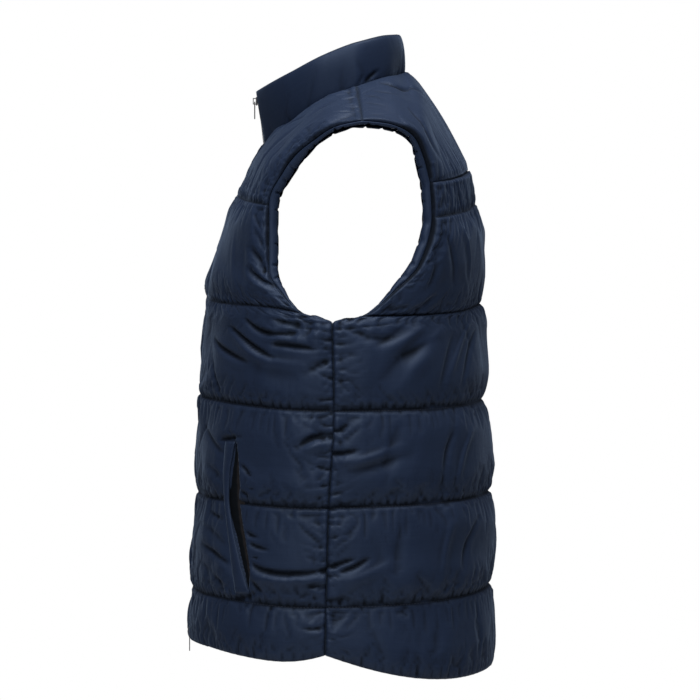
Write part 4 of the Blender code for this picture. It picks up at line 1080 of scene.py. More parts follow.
BACK = [Section(*row) for row in (
    ("hem", 0, 0.1415, -0.6270, 0.1960, -0.0390, -0.6130, 0.118, 90, 0.112, -0.021, 0.0050, 0.0050),
    ("hip line", 0, 0.1425, -0.5342, 0.1985, -0.0380, -0.5607, 0.118, 90, 0.112, -0.005, 0.0075, 0.0011),
    ("pocket line", 0, 0.1415, -0.4312, 0.2015, -0.0350, -0.4501, 0.118, 90, 0.110, -0.003, 0.0075, 0.0011),
    ("waist line", 0, 0.1350, -0.3287, 0.2035, -0.0290, -0.3424, 0.118, 90, 0.106, -0.003, 0.0075, 0.0011),
    ("underarm", 0, 0.1325, -0.2390, 0.2030, -0.0310, -0.2465, 0.116, 90, 0.096, 0, None, None),
    ("blade line", 0, 0.1310, -0.2218, 0.1965, 0.0040, -0.2370, 0.112, 76, 0.072, -0.003, 0.0070, 0.0013),
    ("low blades", 0, 0.1295, -0.1950, 0.1860, 0.0400, -0.2070, 0.106, 66, 0.056, 0, None, None),
    ("blades", 0, 0.1275, -0.1640, 0.1770, 0.0655, -0.1790, 0.100, 56, 0.044, 0, None, None),
    ("upper line", 0, 0.1230, -0.1120, 0.1690, 0.0795, -0.1265, 0.085, 40, 0.034, 0, 0.0030, 0.0058),
    ("yoke seam", 0, 0.1160, -0.0750, 0.1690, 0.0775, -0.0883, 0.080, 38, 0.034, 0, 0.0048, 0.0054),
)]
BACK_BOW_AT = 0.60
BACK_COLUMNS = 76
WHOLE = 10_000  # open_row of a panel with no edge in its middle
CENTRE_REACH = 0.020  # how far from the centre of the back less is pressed in

BACK_GATHERS = [
    Gather("hem", 0.0150, 0.0160, 0.0, 0.0006, 0.0034),
    Gather("hip line", 0.0095, 0.0120, 0.0070, 0.0016, 0.0024),
    Gather("pocket line", 0.0095, 0.0120, 0.0070, 0.0016, 0.0024),
    Gather("waist line", 0.0095, 0.0120, 0.0070, 0.0016, 0.0024),
    Gather("blade line", 0.0100, 0.0130, 0.0080, 0.0015, 0.0026),
    Gather("upper line", 0.0066, 0.0280, 0.0240, 0.0015, 0.0020),
    Gather("yoke seam", 0.0072, 0.0, 0.0280, 0.0016, 0.0020),
]

BACK_CREASES = [PhotoCrease(*row) for row in (
    (334, 453, 343, 452, 356, 449, 3.2, 2.6),
    (341, 463, 368, 457, 401, 445, 6.5, -1.6),
    (345, 470, 375, 465, 410, 452, 6.5, 1.0),
    (337, 430, 342, 427, 348, 424, 3.0, 1.8),
    (328, 565, 339, 563, 354, 558, 3.2, 2.4),
    (338, 571, 353, 566, 368, 556, 3.4, 2.4),
    (342, 580, 362, 575, 392, 560, 7.0, -1.4),
    (328, 600, 338, 599, 350, 597, 3.4, 1.6),
    (412, 316, 421, 308, 434, 297, 4.4, 1.6),
    (402, 357, 416, 350, 436, 339, 7.0, 1.6),
    (434, 320, 410, 348, 374, 388, 9.5, 1.5),
    (446, 326, 424, 352, 398, 392, 8.0, -1.0),
    (410, 322, 392, 336, 372, 350, 6.5, 1.0),
    (380, 350, 405, 340, 432, 325, 9.0, -1.6),
    (355, 330, 372, 337, 392, 338, 6.0, 1.4),
    (470, 322, 460, 345, 450, 372, 4.0, -1.1),
    (476, 330, 468, 352, 461, 385, 4.0, 1.2),
    (455, 335, 446, 362, 440, 392, 6.0, 1.2),
    (472, 425, 464, 450, 458, 480, 5.0, -1.2),
    (455, 430, 447, 452, 442, 482, 5.0, 1.2),
    (478, 515, 468, 540, 462, 570, 5.0, 1.2),
    (452, 520, 445, 545, 441, 575, 6.0, -1.2),
    (398, 425, 392, 445, 384, 470, 8.0, 1.4),
    (405, 520, 398, 545, 396, 575, 8.0, 1.2),
    (372, 625, 378, 645, 388, 660, 8.0, 1.2),
    (440, 620, 436, 640, 436, 660, 8.0, 1.1),
    (445, 235, 452, 255, 455, 285, 5.0, 1.3),
    (462, 228, 468, 250, 470, 280, 5.0, -1.2),
    (436, 262, 434, 275, 428, 290, 5.0, 1.4),
)]


def calm_centre(half):
    """Share of what is pressed in, so that the two halves meet without a step."""
    return 0.2 + 0.8 * ease(half.across / CENTRE_REACH)


def meet(halves):
    """Give the middle of two halves one depth."""
    shared = (halves[0].depth[:, 0] + halves[1].depth[:, 0]) / 2
    for half in halves:
        half.depth[:, 0] = shared


back = [
    Half(BACK, 1, side, BACK_COLUMNS, 0.0, BACK_BOW_AT, WHOLE, (False, True)) for side in (1, -1)
]
edges = [filled(half, seed) for half, seed in zip(back, (36, 46))]
settle(back)
for half, edge, seed in zip(back, edges, (31, 41)):
    pressed = gathered(half, BACK_GATHERS, seed)
    pressed += creased(half, BACK_CREASES, seed + 1)
    pressed += puckered(half, seed + 4)
    pressed += uneven_fill(half, seed + 2) * edge
    press_in(half, pressed * calm_centre(half), edge)
meet(back)
wall = padded_wall("back_quilted", back, (navy_cloth, lining_cloth))
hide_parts("back")

# ================================================================ yoke
# A lightly padded yoke crosses the shoulders. It is cut whole, sewn to the back below, to the
# fronts at the shoulder seams and to the collar at the neck.

YOKE = [Section(*row) for row in (
    ("yoke seam", 0, 0.1160, -0.0750, 0.1690, 0.0775, -0.0883, 0.080, 38, 0.034, 0, 0.0036, 0.0054),
    ("yoke", 0, 0.0872, -0.0200, 0.1730, 0.0705, -0.0610, 0.060, 26, 0.036, 0.004, None, None),
    ("neck back", 0, 0.0512, 0.0345, 0.1825, 0.0590, -0.0370, 0.045, 12, 0.040, 0.006, None, None),
    ("neck side", 0.0540, 0.0330, 0.0300, 0.1960, 0.0330, -0.0235, 0.040, 4, 0.040, 0.002, None, None),
    ("shoulder seam", 0.0820, -0.0034, 0.0188, 0.2070, 0.0020, -0.0197, 0.040, 0, 0.042, 0, 0, 0.0015),
)]
NECK_BACK = 2  # the section at which the neck seam begins
YOKE_COLUMNS = 44
YOKE_NECK_ROLL = 0.0220  # how far the cloth takes to roll up from the neck seam

YOKE_GATHERS = [
    Gather("yoke seam", 0.0072, 0.0360, 0.0, 0.0018, 0.0022),
    Gather("shoulder seam", 0.0110, 0.0, 0.0200, 0.0008, 0.0030),
]

YOKE_CREASES = [PhotoCrease(*row) for row in (
    (379, 84, 400, 88, 424, 96, 6.0, 1.8),
    (372, 92, 384, 94, 398, 96, 3.4, 0.5),
    (358, 84, 359, 100, 362, 119, 1.8, 1.4),
    (363, 97, 372, 98, 382, 101, 3.0, 0.5),
    (366, 104, 374, 105, 385, 108, 3.0, 0.4),
    (408, 110, 425, 130, 440, 160, 5.0, 1.1),
    (400, 118, 416, 135, 428, 165, 5.0, -0.9),
)]

yoke_rows = grid_stations(YOKE)
neck_row = int(np.argmin(np.abs(yoke_rows - row_stations(YOKE)[NECK_BACK])))
yoke = []
for side, seed in ((1, 51), (-1, 61)):
    half = Half(YOKE, 1, side, YOKE_COLUMNS, 0.0, BACK_BOW_AT, neck_row, (True, True))
    edge = filled(half, seed + 5, YOKE_NECK_ROLL)
    pressed = gathered(half, YOKE_GATHERS, seed)
    pressed += creased(half, YOKE_CREASES, seed + 1)
    pressed += uneven_fill(half, seed + 2) * edge * 0.6
    press_in(half, pressed * calm_centre(half), edge)
    yoke.append(half)
meet(yoke)
wall = padded_wall("back_yoke_padded", yoke, (navy_cloth, lining_cloth))
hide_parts("back_yoke")

# ================================================================ collar
# A padded stand collar without quilting. Its outer and inner layers are one piece of shell
# cloth, folded over the top edge, and the zip runs up its front edges.

# The top edge, from the zip to the nape, and how far along the neck seam each point stands.
CollarPoint = namedtuple("CollarPoint", "name share x y z")
COLLAR_TOP = [
    CollarPoint("zip", 0.00, 0.0040, -0.1130, 0.0155),
    CollarPoint("throat", 0.14, 0.0330, -0.0975, 0.0245),
    CollarPoint("front quarter", 0.28, 0.0570, -0.0740, 0.0370),
    CollarPoint("side front", 0.46, 0.0720, -0.0400, 0.0548),
    CollarPoint("side", 0.60, 0.0730, -0.0060, 0.0680),
    CollarPoint("side back", 0.78, 0.0520, 0.0260, 0.0765),
    CollarPoint("nape", 1.00, 0.0000, 0.0395, 0.0780),
]
COLLAR_INSET = 0.0034  # how far inside the neck seam its lining stands
COLLAR_PUFF = 0.0036
TOP_EDGE_DEPTH = 0.0046  # from the lining to the shell at the folded top edge
COLLAR_END = 0.0034  # from the lining to the shell along the zip
COLLAR_COLUMNS = 58
COLLAR_ROWS = 16
# Tucks that the neck seam pulls up into the collar, by their share of the way round from the
# zip and of its height.
CollarCrease = namedtuple("CollarCrease", "share height slant length width depth")
COLLAR_CREASES = [
    CollarCrease(0.36, 0.12, 0.5, 0.028, 0.0045, 0.0007),
    CollarCrease(0.52, 0.10, 0.2, 0.022, 0.0040, 0.0007),
    CollarCrease(0.64, 0.14, -0.4, 0.026, 0.0045, 0.0008),
    CollarCrease(0.20, 0.15, 0.7, 0.022, 0.0040, 0.0006),
]
COLLAR_PUCKERS = [PhotoCrease(*row) for row in (
    (365, 83, 371, 77, 378, 71, 2.8, 1.5),
    (356, 87, 360, 82, 362, 76, 2.4, 0.7),
)]


def lining_edge(table, facing, first, share, start_gap, bow_at):
    """The lining's edge points from a section upwards, at the start (0) or end (1) of rows."""
    stations = grid_stations(table)
    stations = stations[stations > row_stations(table)[first] - 1e-6]
    return lining_points(table, facing, stations, np.full(1, share), start_gap, bow_at)[:, 0]


def shares_of(path):
    """How far along a path each of its points lies, from 0 to 1."""
    reach = lengths_along(path)
    return reach / reach[-1]


neck = np.concatenate((
    lining_edge(FRONT, -1, NECK_FRONT, 0.0, ZIP_HALF_GAP, FRONT_BOW_AT),
    lining_edge(YOKE, 1, NECK_BACK, 0.0, 0.0, BACK_BOW_AT)[::-1][1:],
))
neck_share = shares_of(neck)


def collar_wall(columns, rows):
    """The collar's lining points on the left, from the zip to the nape."""
    shares = np.linspace(0, 1, columns + 1)
    foot = np.stack([np.interp(shares, neck_share, neck[:, k]) for k in range(3)], axis=1)
    top_share = [point.share for point in COLLAR_TOP]
    top_share = top_share + [2 - share for share in reversed(top_share[:-1])]
    top = [(point.x, point.y, point.z) for point in COLLAR_TOP]
    top = top + [(-x, y, z) for x, y, z in reversed(top[:-1])]
    top = smooth(top_share, top, shares)
    way = np.gradient(foot, axis=0)
    inward = unit(np.stack((-way[:, 1], way[:, 0]), axis=1))
    nape = ease((shares - 0.8) / 0.15)[:, None]
    inward += (np.array((0.0, -1.0)) - inward) * nape
    foot[:, :2] += unit(inward) * COLLAR_INSET
    foot[0, 0] = ZIP_HALF_GAP
    foot[-1, 0] = 0.0
    heights = np.linspace(0, 1, rows + 1)[:, None, None]
    points = foot[None] * (1 - heights) + top[None] * heights
    points[:, 0, 0] = ZIP_HALF_GAP
    return points


class CollarHalf(Half):
    """One half of the collar as a grid like a panel's, its columns from the nape to the zip."""

    def __init__(self, side, seed):
        points = collar_wall(2 * COLLAR_COLUMNS, 2 * COLLAR_ROWS)
        normal = outward(points, -1)
        normal[:, -1] = normal[:, -2] * np.array((0.0, 1.0, 1.0))
        normal[:, 0, 0] = 0.0
        self.side = side
        self.mirror = np.array((side, 1, 1))
        self.open_row = WHOLE
        # Painted shade along the neck seam, none along the folded top edge.
        self.painted_seam_shade = (0.8, 0.0)
        self.hard = 1.0
        self.pull = 0.0
        self.free = (False, True, False, True)
        self.lining = points[:, ::-1]
        self.normal = unit(normal)[:, ::-1]
        steps = np.linalg.norm(np.diff(self.lining, axis=1), axis=2)
        start = np.zeros((len(points), 1))
        self.across = np.concatenate((start, np.cumsum(steps, axis=1)), axis=1)
        to_zip = self.across[:, -1:] - self.across
        rise = np.linalg.norm(points[-1] - points[0], axis=1).mean()
        height = np.linspace(0, 1, 2 * COLLAR_ROWS + 1)
        self.stations = height * rise
        self.away = to_zip
        self.away_end = to_zip
        base = SEWN_DEPTH + (TOP_EDGE_DEPTH - SEWN_DEPTH) * ease(height)
        depth = base + COLLAR_PUFF * (4 * height * (1 - height)) ** 0.55
        depth = COLLAR_END + (depth[:, None] - COLLAR_END) * rolled(to_zip / 0.012)
        draw = np.random.default_rng(seed)
        shares = np.linspace(1, 0, 2 * COLLAR_COLUMNS + 1)[None, :]
        tall = height[:, None]
        for crease in COLLAR_CREASES:
            where = crease.share + (draw.uniform(-0.04, 0.04) if side < 0 else 0.0)
            off = (shares - where) * self.across[:, -1:] - crease.slant * (tall - crease.height) * rise
            fade = np.exp(-(((tall - crease.height) * rise / crease.length) ** 2))
            depth -= crease.depth * np.exp(-((off / crease.width) ** 2)) * fade
        for _ in range(26):
            where = draw.uniform(0.03, 0.97)
            width = draw.uniform(0.0022, 0.0040)
            deep = draw.uniform(0.0002, 0.0007)
            lean = draw.uniform(-0.5, 0.5)
            off = (shares - where) * self.across[:, -1:] - lean * tall * rise
            fade = np.exp(-((tall * rise / draw.uniform(0.006, 0.014)) ** 1.6))
            depth -= deep * np.exp(-((off / width) ** 2)) * fade
        for _ in range(8):
            turn = draw.uniform(0, 2 * math.pi)
            wave = draw.uniform(0.040, 0.090)
            way = (self.across * math.cos(turn) + tall * rise * math.sin(turn)) / wave
            bump = np.sin(2 * math.pi * way + draw.uniform(0, 6))
            depth += 0.00012 * bump * ease(self.across / 0.02)
        self.depth = depth
        self.depth = np.maximum(depth + creased(self, COLLAR_PUCKERS, seed), 0.0012)


collar = [CollarHalf(1, 71), CollarHalf(-1, 73)]
meet(collar)
wall = padded_wall("collar_padded", collar, (navy_cloth, navy_cloth))
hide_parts("collar")

# ================================================================ armhole facings
# A strip of shell cloth, cut longer than the armhole, is gathered onto its edge and turned in,
# so that its tucks show inside the opening.

FACING_SHOWN = 0.0086  # how much of it shows from the side
FACING_DEEP = 0.0085  # how far it is turned in
FACING_EVEN = 0.0090  # how much its edge is rounded off
FACING_LIFT = 0.0026  # it starts between the shell and the lining of the panel
FACING_TIGHT = 0.78  # how much less of it shows over the shoulder
FACING_THICKNESS = 0.0011
FACING_LOW = -0.2350  # at the underarm nothing shows; above it more and more does
FACING_RISE = 0.0550
FACING_STATIONS = 560
FACING_STEPS = 14
FACING_TUCKS = 32
FACING_GROOVE = 0.0004  # how deep the strip is sunk beside its seam
STRIP_STEP = 0.002  # how much of a strip's UV map lies between two corners of its ring


def tube_piece(name, rings, closed, material):
    """A piece through rings[station][corner]: a tube closed end to end, or capped."""
    points = np.concatenate((rings, rings[:, :1]), axis=1)
    if closed:
        points = np.concatenate((points, points[:1]))
    bm = bmesh.new()
    flat = bm.verts.layers.float_vector.new("flat")
    placed = grid_onto(bm, points, False)
    reach = lengths_along(points[:, 0])
    for (row, column), vertex in placed.items():
        vertex[flat] = (STRIP_STEP * column, reach[row], 0)
    bmesh.ops.remove_doubles(bm, verts=list(placed.values()), dist=1e-6)
    if not closed:
        rims = [edge for edge in bm.edges if edge.is_boundary]
        bmesh.ops.holes_fill(bm, edges=rims, sides=0)
    bmesh.ops.recalc_face_normals(bm, faces=bm.faces)
    return new_piece(name, bm, (material,))


armhole = np.concatenate((
    lining_edge(FRONT, -1, UNDERARM, 1.0, ZIP_HALF_GAP, FRONT_BOW_AT),
    lining_edge(YOKE, 1, 0, 1.0, 0.0, BACK_BOW_AT)[::-1][1:],
    lining_edge(BACK, 1, UNDERARM, 1.0, 0.0, BACK_BOW_AT)[::-1][1:],
))
places = np.linspace(0, 1, FACING_STATIONS, endpoint=False)
armhole_share = shares_of(armhole)
path = np.stack([np.interp(places, armhole_share, armhole[:, k]) for k in range(3)], axis=1)
centre = path.mean(axis=0)
along = unit(np.roll(path, -4, axis=0) - np.roll(path, 4, axis=0))
into = np.cross(along, (1.0, 0.0, 0.0))
into *= np.sign(np.sum(into * (centre - path), axis=1))[:, None]
into[:, 0] = 0.0
into = unit(into)
risen = ease((path[:, 2] - FACING_LOW) / FACING_RISE)[:, None]
narrow = 1 - FACING_TIGHT * ease((path[:, 2] + 0.065) / 0.035)[:, None]
mouth = path + into * FACING_SHOWN * risen * narrow
# The edge of the opening runs in one round curve, although the panels' edges turn corners.
step = np.linalg.norm(np.diff(path, axis=0), axis=1).mean()
reach = np.arange(-3 * FACING_EVEN, 3 * FACING_EVEN, step)
weights = np.exp(-((reach / FACING_EVEN) ** 2) / 2)
evened = sum(
    np.roll(mouth, number - len(reach) // 2, axis=0) * weight
    for number, weight in enumerate(weights / weights.sum())
)
shown = (mouth + (evened - mouth) * risen - path) * np.array((0.0, 1.0, 1.0)) + into * 0.0004
deep = np.array((-FACING_DEEP, 0.0, 0.0))
facing_length = np.linalg.norm(np.diff(path, axis=0), axis=1).sum()
for side, name, seed in ((1, "armhole_facing_left", 81), (-1, "armhole_facing_right", 83)):
    draw = np.random.default_rng(seed)
    tucks = np.zeros((FACING_STATIONS, FACING_STEPS + 1))
    width = np.linspace(0, 1, FACING_STEPS + 1)
    for k in range(FACING_TUCKS):
        where = (k + draw.uniform(-0.4, 0.4)) / FACING_TUCKS
        sharp = draw.random() < 0.6
        broad = draw.uniform(0.0010, 0.0018) if sharp else draw.uniform(0.0030, 0.0070)
        deep_tuck = draw.uniform(0.0016, 0.0034) if sharp else draw.uniform(0.0006, 0.0018)
        lean = draw.uniform(-0.4, 0.4)
        off = (places[:, None] - where - lean * width[None, :] * 0.008 + 0.5) % 1.0 - 0.5
        off = off * facing_length
        reach = ease((width - draw.uniform(0.0, 0.4)) / 0.3) * ease((1.12 - width) / 0.3)
        tucks -= deep_tuck * np.exp(-((off / broad) ** 2)) * reach[None, :]
    roll = 0.0016 * np.sin(math.pi * width) - FACING_GROOVE * np.exp(-((width / 0.12) ** 2))
    sine = np.sin(math.pi / 2 * width)[None, :, None]
    cosine = np.cos(math.pi / 2 * width)[None, :, None]
    face = -deep[None, None] * np.linalg.norm(shown, axis=1)[:, None, None] / FACING_DEEP * cosine
    face = unit(face + FACING_DEEP * into[:, None] * sine)
    outer = path[:, None] + shown[:, None] * sine + deep[None, None] * (1 - cosine)
    outer = outer + np.array((FACING_LIFT, 0.0, 0.0)) * risen[:, None]
    outer = outer + face * (tucks + roll[None, :])[..., None]
    inner = outer - face * FACING_THICKNESS
    rings = np.concatenate((outer, inner[:, ::-1]), axis=1) * np.array((side, 1, 1))
    strip = tube_piece(f"{name}_ruched", rings, True, navy_cloth)
    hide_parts(name)

# ================================================================ pockets
# Each front has a slanted pocket: a padded welt folded from shell cloth along the front of the
# slit, and behind it the dark facing of the pocket bag, which shows where the slit gapes. Next to
# the welt the facing is painted in shade.

WELT_THICKNESS = 0.0030
WELT_LIFT = 0.0004  # how far it lies off the cloth under it
WELT_STATIONS = 60
WELT_STEPS = 10
BAG_PAINTED_SHADE = (0.0006, 0.0006, 0.0007)  # painted shade: the colour the facing is given next to the welt, where no light reaches
BAG_FROM = 0.0268  # where on the facing's UV map that painted shade begins and is full
BAG_TO = 0.0284

pocket_cloth = cloth_material(
    "pocket_cloth", (0.0150, 0.0120, 0.0115), (0.0240, 0.0195, 0.0185), 0.80, 0.02, 0.2, 1500
)

# Beside the welt one looks into the dark of the bag: there the facing is painted in shade, and
# only a narrow strip of facing shows.
tree = pocket_cloth.node_tree
across = tree.nodes.new("ShaderNodeSeparateXYZ")
depth_in = tree.nodes.new("ShaderNodeMapRange")
depth_in.inputs["From Min"].default_value = BAG_FROM
depth_in.inputs["From Max"].default_value = BAG_TO
into_painted_shade = colour_mix(tree, BAG_PAINTED_SHADE, BAG_PAINTED_SHADE)
surface = tree.nodes["Principled BSDF"].inputs["Base Color"]
linked(tree, [
    (tree.nodes["Texture Coordinate"].outputs["UV"], across.inputs[0]),
    (across.outputs["X"], depth_in.inputs["Value"]),
    (depth_in.outputs["Result"], into_painted_shade.inputs["Factor"]),
    (surface.links[0].from_socket, into_painted_shade.inputs["A"]),
    (into_painted_shade.outputs["Result"], surface),
])


def spot_on(grid, y, z):
    """Grid place, as (row, column), of the point at a depth and height on a shell."""
    rows = np.arange(grid.shape[0])
    places = np.array([np.interp(z, grid[:, k, 2], rows) for k in range(grid.shape[1])])
    depths = np.array([np.interp(place, rows, grid[:, k, 1]) for k, place in enumerate(places)])
    column = float(np.interp(y, depths, np.arange(grid.shape[1])))
    return float(np.interp(column, np.arange(grid.shape[1]), places)), column


def grid_value(grid, row, column):
    """The value of a grid at a place between its rows and columns."""
    low_row = min(int(row), grid.shape[0] - 2)
    low_column = min(int(column), grid.shape[1] - 2)
    across = column - low_column
    up = row - low_row
    low = grid[low_row, low_column] * (1 - across) + grid[low_row, low_column + 1] * across
    high = grid[low_row + 1, low_column] * (1 - across)
    high = high + grid[low_row + 1, low_column + 1] * across
    return low * (1 - up) + high * up


for side, end in ((1, "left"), (-1, "right")):
    front = fronts[side]
    base = front.lining + front.normal * POCKET_FLAT
    rings = {"welt": [], "facing": []}
    for z in np.linspace(POCKET[0].z, POCKET[-1].z, WELT_STATIONS):
        inside = min(max(z, POCKET[-1].z + 0.0005), POCKET[0].z - 0.0005)
        welt_front, welt_rear, slit, _ = pocket_bounds(inside)
        tip = min(POCKET[0].z - z, z - POCKET[-1].z)
        for kind, near, far in (
            ("welt", welt_front, welt_rear),
            ("facing", welt_rear - 0.003, slit + 0.001),
        ):
            low = []
            high = []
            for share in np.linspace(0, 1, WELT_STEPS):
                row, column = spot_on(base, near + (far - near) * share, z)
                lining = grid_value(front.lining, row, column)
                out = unit(grid_value(front.normal, row, column))
                if kind == "welt":
                    crown = math.sin(math.pi * (0.06 + 0.88 * share)) ** 0.5
                    crown *= 0.55 + 0.45 * min(1.0, tip / 0.006)
                    low.append(lining + out * (POCKET_FLAT + WELT_LIFT))
                    high.append(lining + out * (POCKET_FLAT + WELT_LIFT + WELT_THICKNESS * crown))
                else:
                    sag = 0.0006 * math.sin(9 * z / 0.02 + 4 * share)
                    low.append(lining + out * (SLIT_DEPTH + 0.0002))
                    high.append(lining + out * (SLIT_DEPTH + 0.0012 + sag * share))
            rings[kind].append(low + high[::-1])
    for kind, node, material, slot_name in (
        ("welt", f"pocket_welt_{end}", navy_cloth, "navy_shell"),
        ("facing", f"pocket_facing_{end}", pocket_cloth, "pocket_facing"),
    ):
        piece = tube_piece(f"{node}_sewn", np.array(rings[kind]) * front.mirror, False, material)
        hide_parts(node)

# ================================================================ zip
# A two-way zip with a coil chain on navy tape runs from the hem to the top of the collar. Each
# front edge is folded back beside it.

TAPE_WIDTH = 0.0140
TAPE_BACK = 0.0019  # its back and its front, behind the front edges' lining
TAPE_FRONT = 0.0009
TAPE_IN_COLLAR = 0.0036  # how much of its width shows inside the collar
CHAIN_FRONT = -0.0022
CHAIN_PITCH = 0.00150
TOOTH_LENGTH = 0.0030
TOOTH_WIDTH = 0.00062
TOOTH_HEIGHT = 0.0026

tape_cloth = cloth_material(
    "tape_cloth", (0.0080, 0.0105, 0.0240), (0.0130, 0.0170, 0.0340), 0.68, 0.1, 0.05, 900
)


def plain_material(name, colour, metallic, roughness, coat, wear):
    """A metal or moulded material with fine grain and slight wear in its gloss."""
    material, tree, shader = new_material(name)
    shader.inputs["Metallic"].default_value = metallic
    shader.inputs["Coat Weight"].default_value = coat
    place = tree.nodes.new("ShaderNodeTexCoord")
    grain = tree.nodes.new("ShaderNodeTexNoise")
    grain.inputs["Scale"].default_value = 900.0
    grain.inputs["Detail"].default_value = 4.0
    tone = colour_mix(tree, colour, [min(1.0, part * wear) for part in colour])
    gloss = math_node(tree, "MULTIPLY", grain.outputs["Fac"], 0.24)
    gloss = math_node(tree, "ADD", gloss, roughness - 0.12)
    bump = bump_node(tree, 0.15, 0.0001)
    linked(tree, [
        (place.outputs["Object"], grain.inputs["Vector"]),
        (grain.outputs["Fac"], tone.inputs["Factor"]),
        (tone.outputs["Result"], shader.inputs["Base Color"]),
        (gloss, shader.inputs["Roughness"]),
        (grain.outputs["Fac"], bump.inputs["Height"]),
        (bump.outputs["Normal"], shader.inputs["Normal"]),
    ])
    return material


gunmetal = plain_material("gunmetal", (0.11, 0.11, 0.12), 1.0, 0.36, 0.0, 1.5)
black_enamel = plain_material("black_enamel", (0.004, 0.004, 0.005), 0.0, 0.50, 0.1, 1.6)
coil_nylon = plain_material("coil_nylon", (0.010, 0.013, 0.026), 0.0, 0.36, 0.2, 1.5)
thread = plain_material("thread", (0.014, 0.020, 0.040), 0.0, 0.62, 0.0, 1.5)

front_edge = fronts[1]
body_rows = front_edge.stations < row_stations(FRONT)[NECK_FRONT] - 0.004
body_line = front_edge.lining[body_rows, 0][::2]
chord = front_edge.lining[body_rows, 6][::2] - body_line
body_slope = chord[:, 1] / chord[:, 0]
collar_line = collar_wall(1, 24)[:, 0]
tape_reach = np.concatenate(
    (np.full(len(body_line), TAPE_WIDTH), np.full(len(collar_line), TAPE_IN_COLLAR))
)
tape_slope = np.concatenate((body_slope, np.zeros(len(collar_line))))
zip_line = np.concatenate((body_line, collar_line))
zip_line[0, 2] += 0.002
zip_line[-1] += (zip_line[-2] - zip_line[-1]) * 0.25
zip_reach = lengths_along(zip_line)
for side, name in ((1, "zip_left"), (-1, "zip_right")):
    rings = []
    for point, reach, slope in zip(zip_line, tape_reach, tape_slope):
        ring = []
        for depth_in, shares in ((TAPE_FRONT, (0, 0.1, 0.3, 0.6, 1.0)), (TAPE_BACK, (1.0, 0.5, 0))):
            for share in shares:
                x = SEAM_GAP / 2 + (reach - SEAM_GAP / 2) * share
                lean = slope * max(0.0, x - ZIP_HALF_GAP)
                ring.append((side * x, point[1] + depth_in + lean, point[2]))
        rings.append(ring)
    tape = tube_piece(f"{name}_tape", np.array(rings), False, tape_cloth)
    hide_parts(name)


def set_out(name, small, origins, axes, material):
    """One piece of many copies of a small mesh, each at its own place and turned."""
    small.materials.append(material)
    holder = shown_object(f"{name}_unit", small)
    array = holder.modifiers.new("copies", "ARRAY")
    array.count = len(origins)
    array.use_relative_offset = False
    array.use_constant_offset = True
    array.constant_offset_displace = (0, 0, 0)
    mesh = bpy.data.meshes.new_from_object(
        holder.evaluated_get(bpy.context.evaluated_depsgraph_get())
    )
    mesh.name = name
    shape = np.array([vertex.co[:] for vertex in small.vertices])
    points = np.asarray(origins)[:, None] + np.einsum("vk,nkc->nvc", shape, np.asarray(axes))
    mesh.vertices.foreach_set("co", points.astype("f").ravel())
    mesh.shade_smooth()
    mesh.update()
    bpy.data.objects.remove(holder)
    item = shown_object(name, mesh)
    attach(item, "vest")
    return item


def unit_bar(length, width, height):
    """A small bar with rounded edges."""
    bm = bmesh.new()
    made = bmesh.ops.create_cube(bm, size=1.0)["verts"]
    bmesh.ops.scale(bm, vec=(length, width, height), verts=made)
    bmesh.ops.bevel(
        bm, geom=list(bm.edges), offset=min(width, height) * 0.3, segments=1, profile=0.5,
        affect="EDGES", material=-1,
    )
    return mesh_of(bm, "unit_bar")


for side, name in ((1, "left"), (-1, "right")):
    origins = []
    axes = []
    start = 0.004 + (CHAIN_PITCH / 2 if side < 0 else 0.0)
    for reach in np.arange(start, zip_reach[-1] - 0.002, CHAIN_PITCH):
        centre = np.array([np.interp(reach, zip_reach, zip_line[:, k]) for k in range(3)])
        ahead = np.array([np.interp(reach + 0.002, zip_reach, zip_line[:, k]) for k in range(3)])
        way = unit(ahead - centre)
        out = np.cross(way, (1.0, 0.0, 0.0))
        out *= -np.sign(out[1])
        centre[0] = side * (TOOTH_LENGTH / 2 - 0.0003)
        centre[1] += CHAIN_FRONT + TOOTH_HEIGHT / 2
        origins.append(centre)
        axes.append(((1.0, 0.0, 0.0), way, out))
    set_out(
        f"zip_coil_{name}", unit_bar(TOOTH_LENGTH, TOOTH_WIDTH, TOOTH_HEIGHT), origins, axes,
        coil_nylon,
    )

for node, material in (
    ("slider_top", gunmetal),
    ("slider_bottom", gunmetal),
    ("pull_top", black_enamel),
    ("pull_bottom", gunmetal),
):
    for slot_of_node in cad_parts[node].material_slots:
        slot_of_node.material = material

# ================================================================ stitching
# Navy polyester thread: a lockstitch along each quilting row of the fronts and the back, sunk
# between the swelling channels.

STITCH = 0.0030  # length of a stitch
STITCH_PITCH = 0.0037
STITCH_WIDTH = 0.00055
STITCH_SEAT = 0.0001  # how high a stitch's middle lies over the cloth


def unit_stitch():
    """One stitch, a short rounded float of thread."""
    bm = bmesh.new()
    made = bmesh.ops.create_uvsphere(bm, u_segments=6, v_segments=5, radius=0.5)["verts"]
    bmesh.ops.scale(bm, vec=(STITCH_WIDTH, STITCH_WIDTH, STITCH), verts=made)
    bmesh.ops.recalc_face_normals(bm, faces=bm.faces)
    return mesh_of(bm, "unit_stitch")


def along_row(half, row):
    """Stitch places along one row of a panel, and the way each lies."""
    shell = half.shell()[row] * half.mirror
    normal = half.normal[row] * half.mirror
    reach = half.across[row] - half.across[row, 0]
    origins = []
    axes = []
    for place in np.arange(0.004, reach[-1] - 0.003, STITCH_PITCH):
        column = np.interp(place, reach, np.arange(len(reach)))
        low = int(column)
        origin = shell[low] + (shell[low + 1] - shell[low]) * (column - low)
        way = unit(shell[low + 1] - shell[low])
        out = unit(normal[low] - way * np.dot(normal[low], way))
        origins.append(origin + out * STITCH_SEAT)
        axes.append((out, np.cross(way, out), way))
    return origins, axes


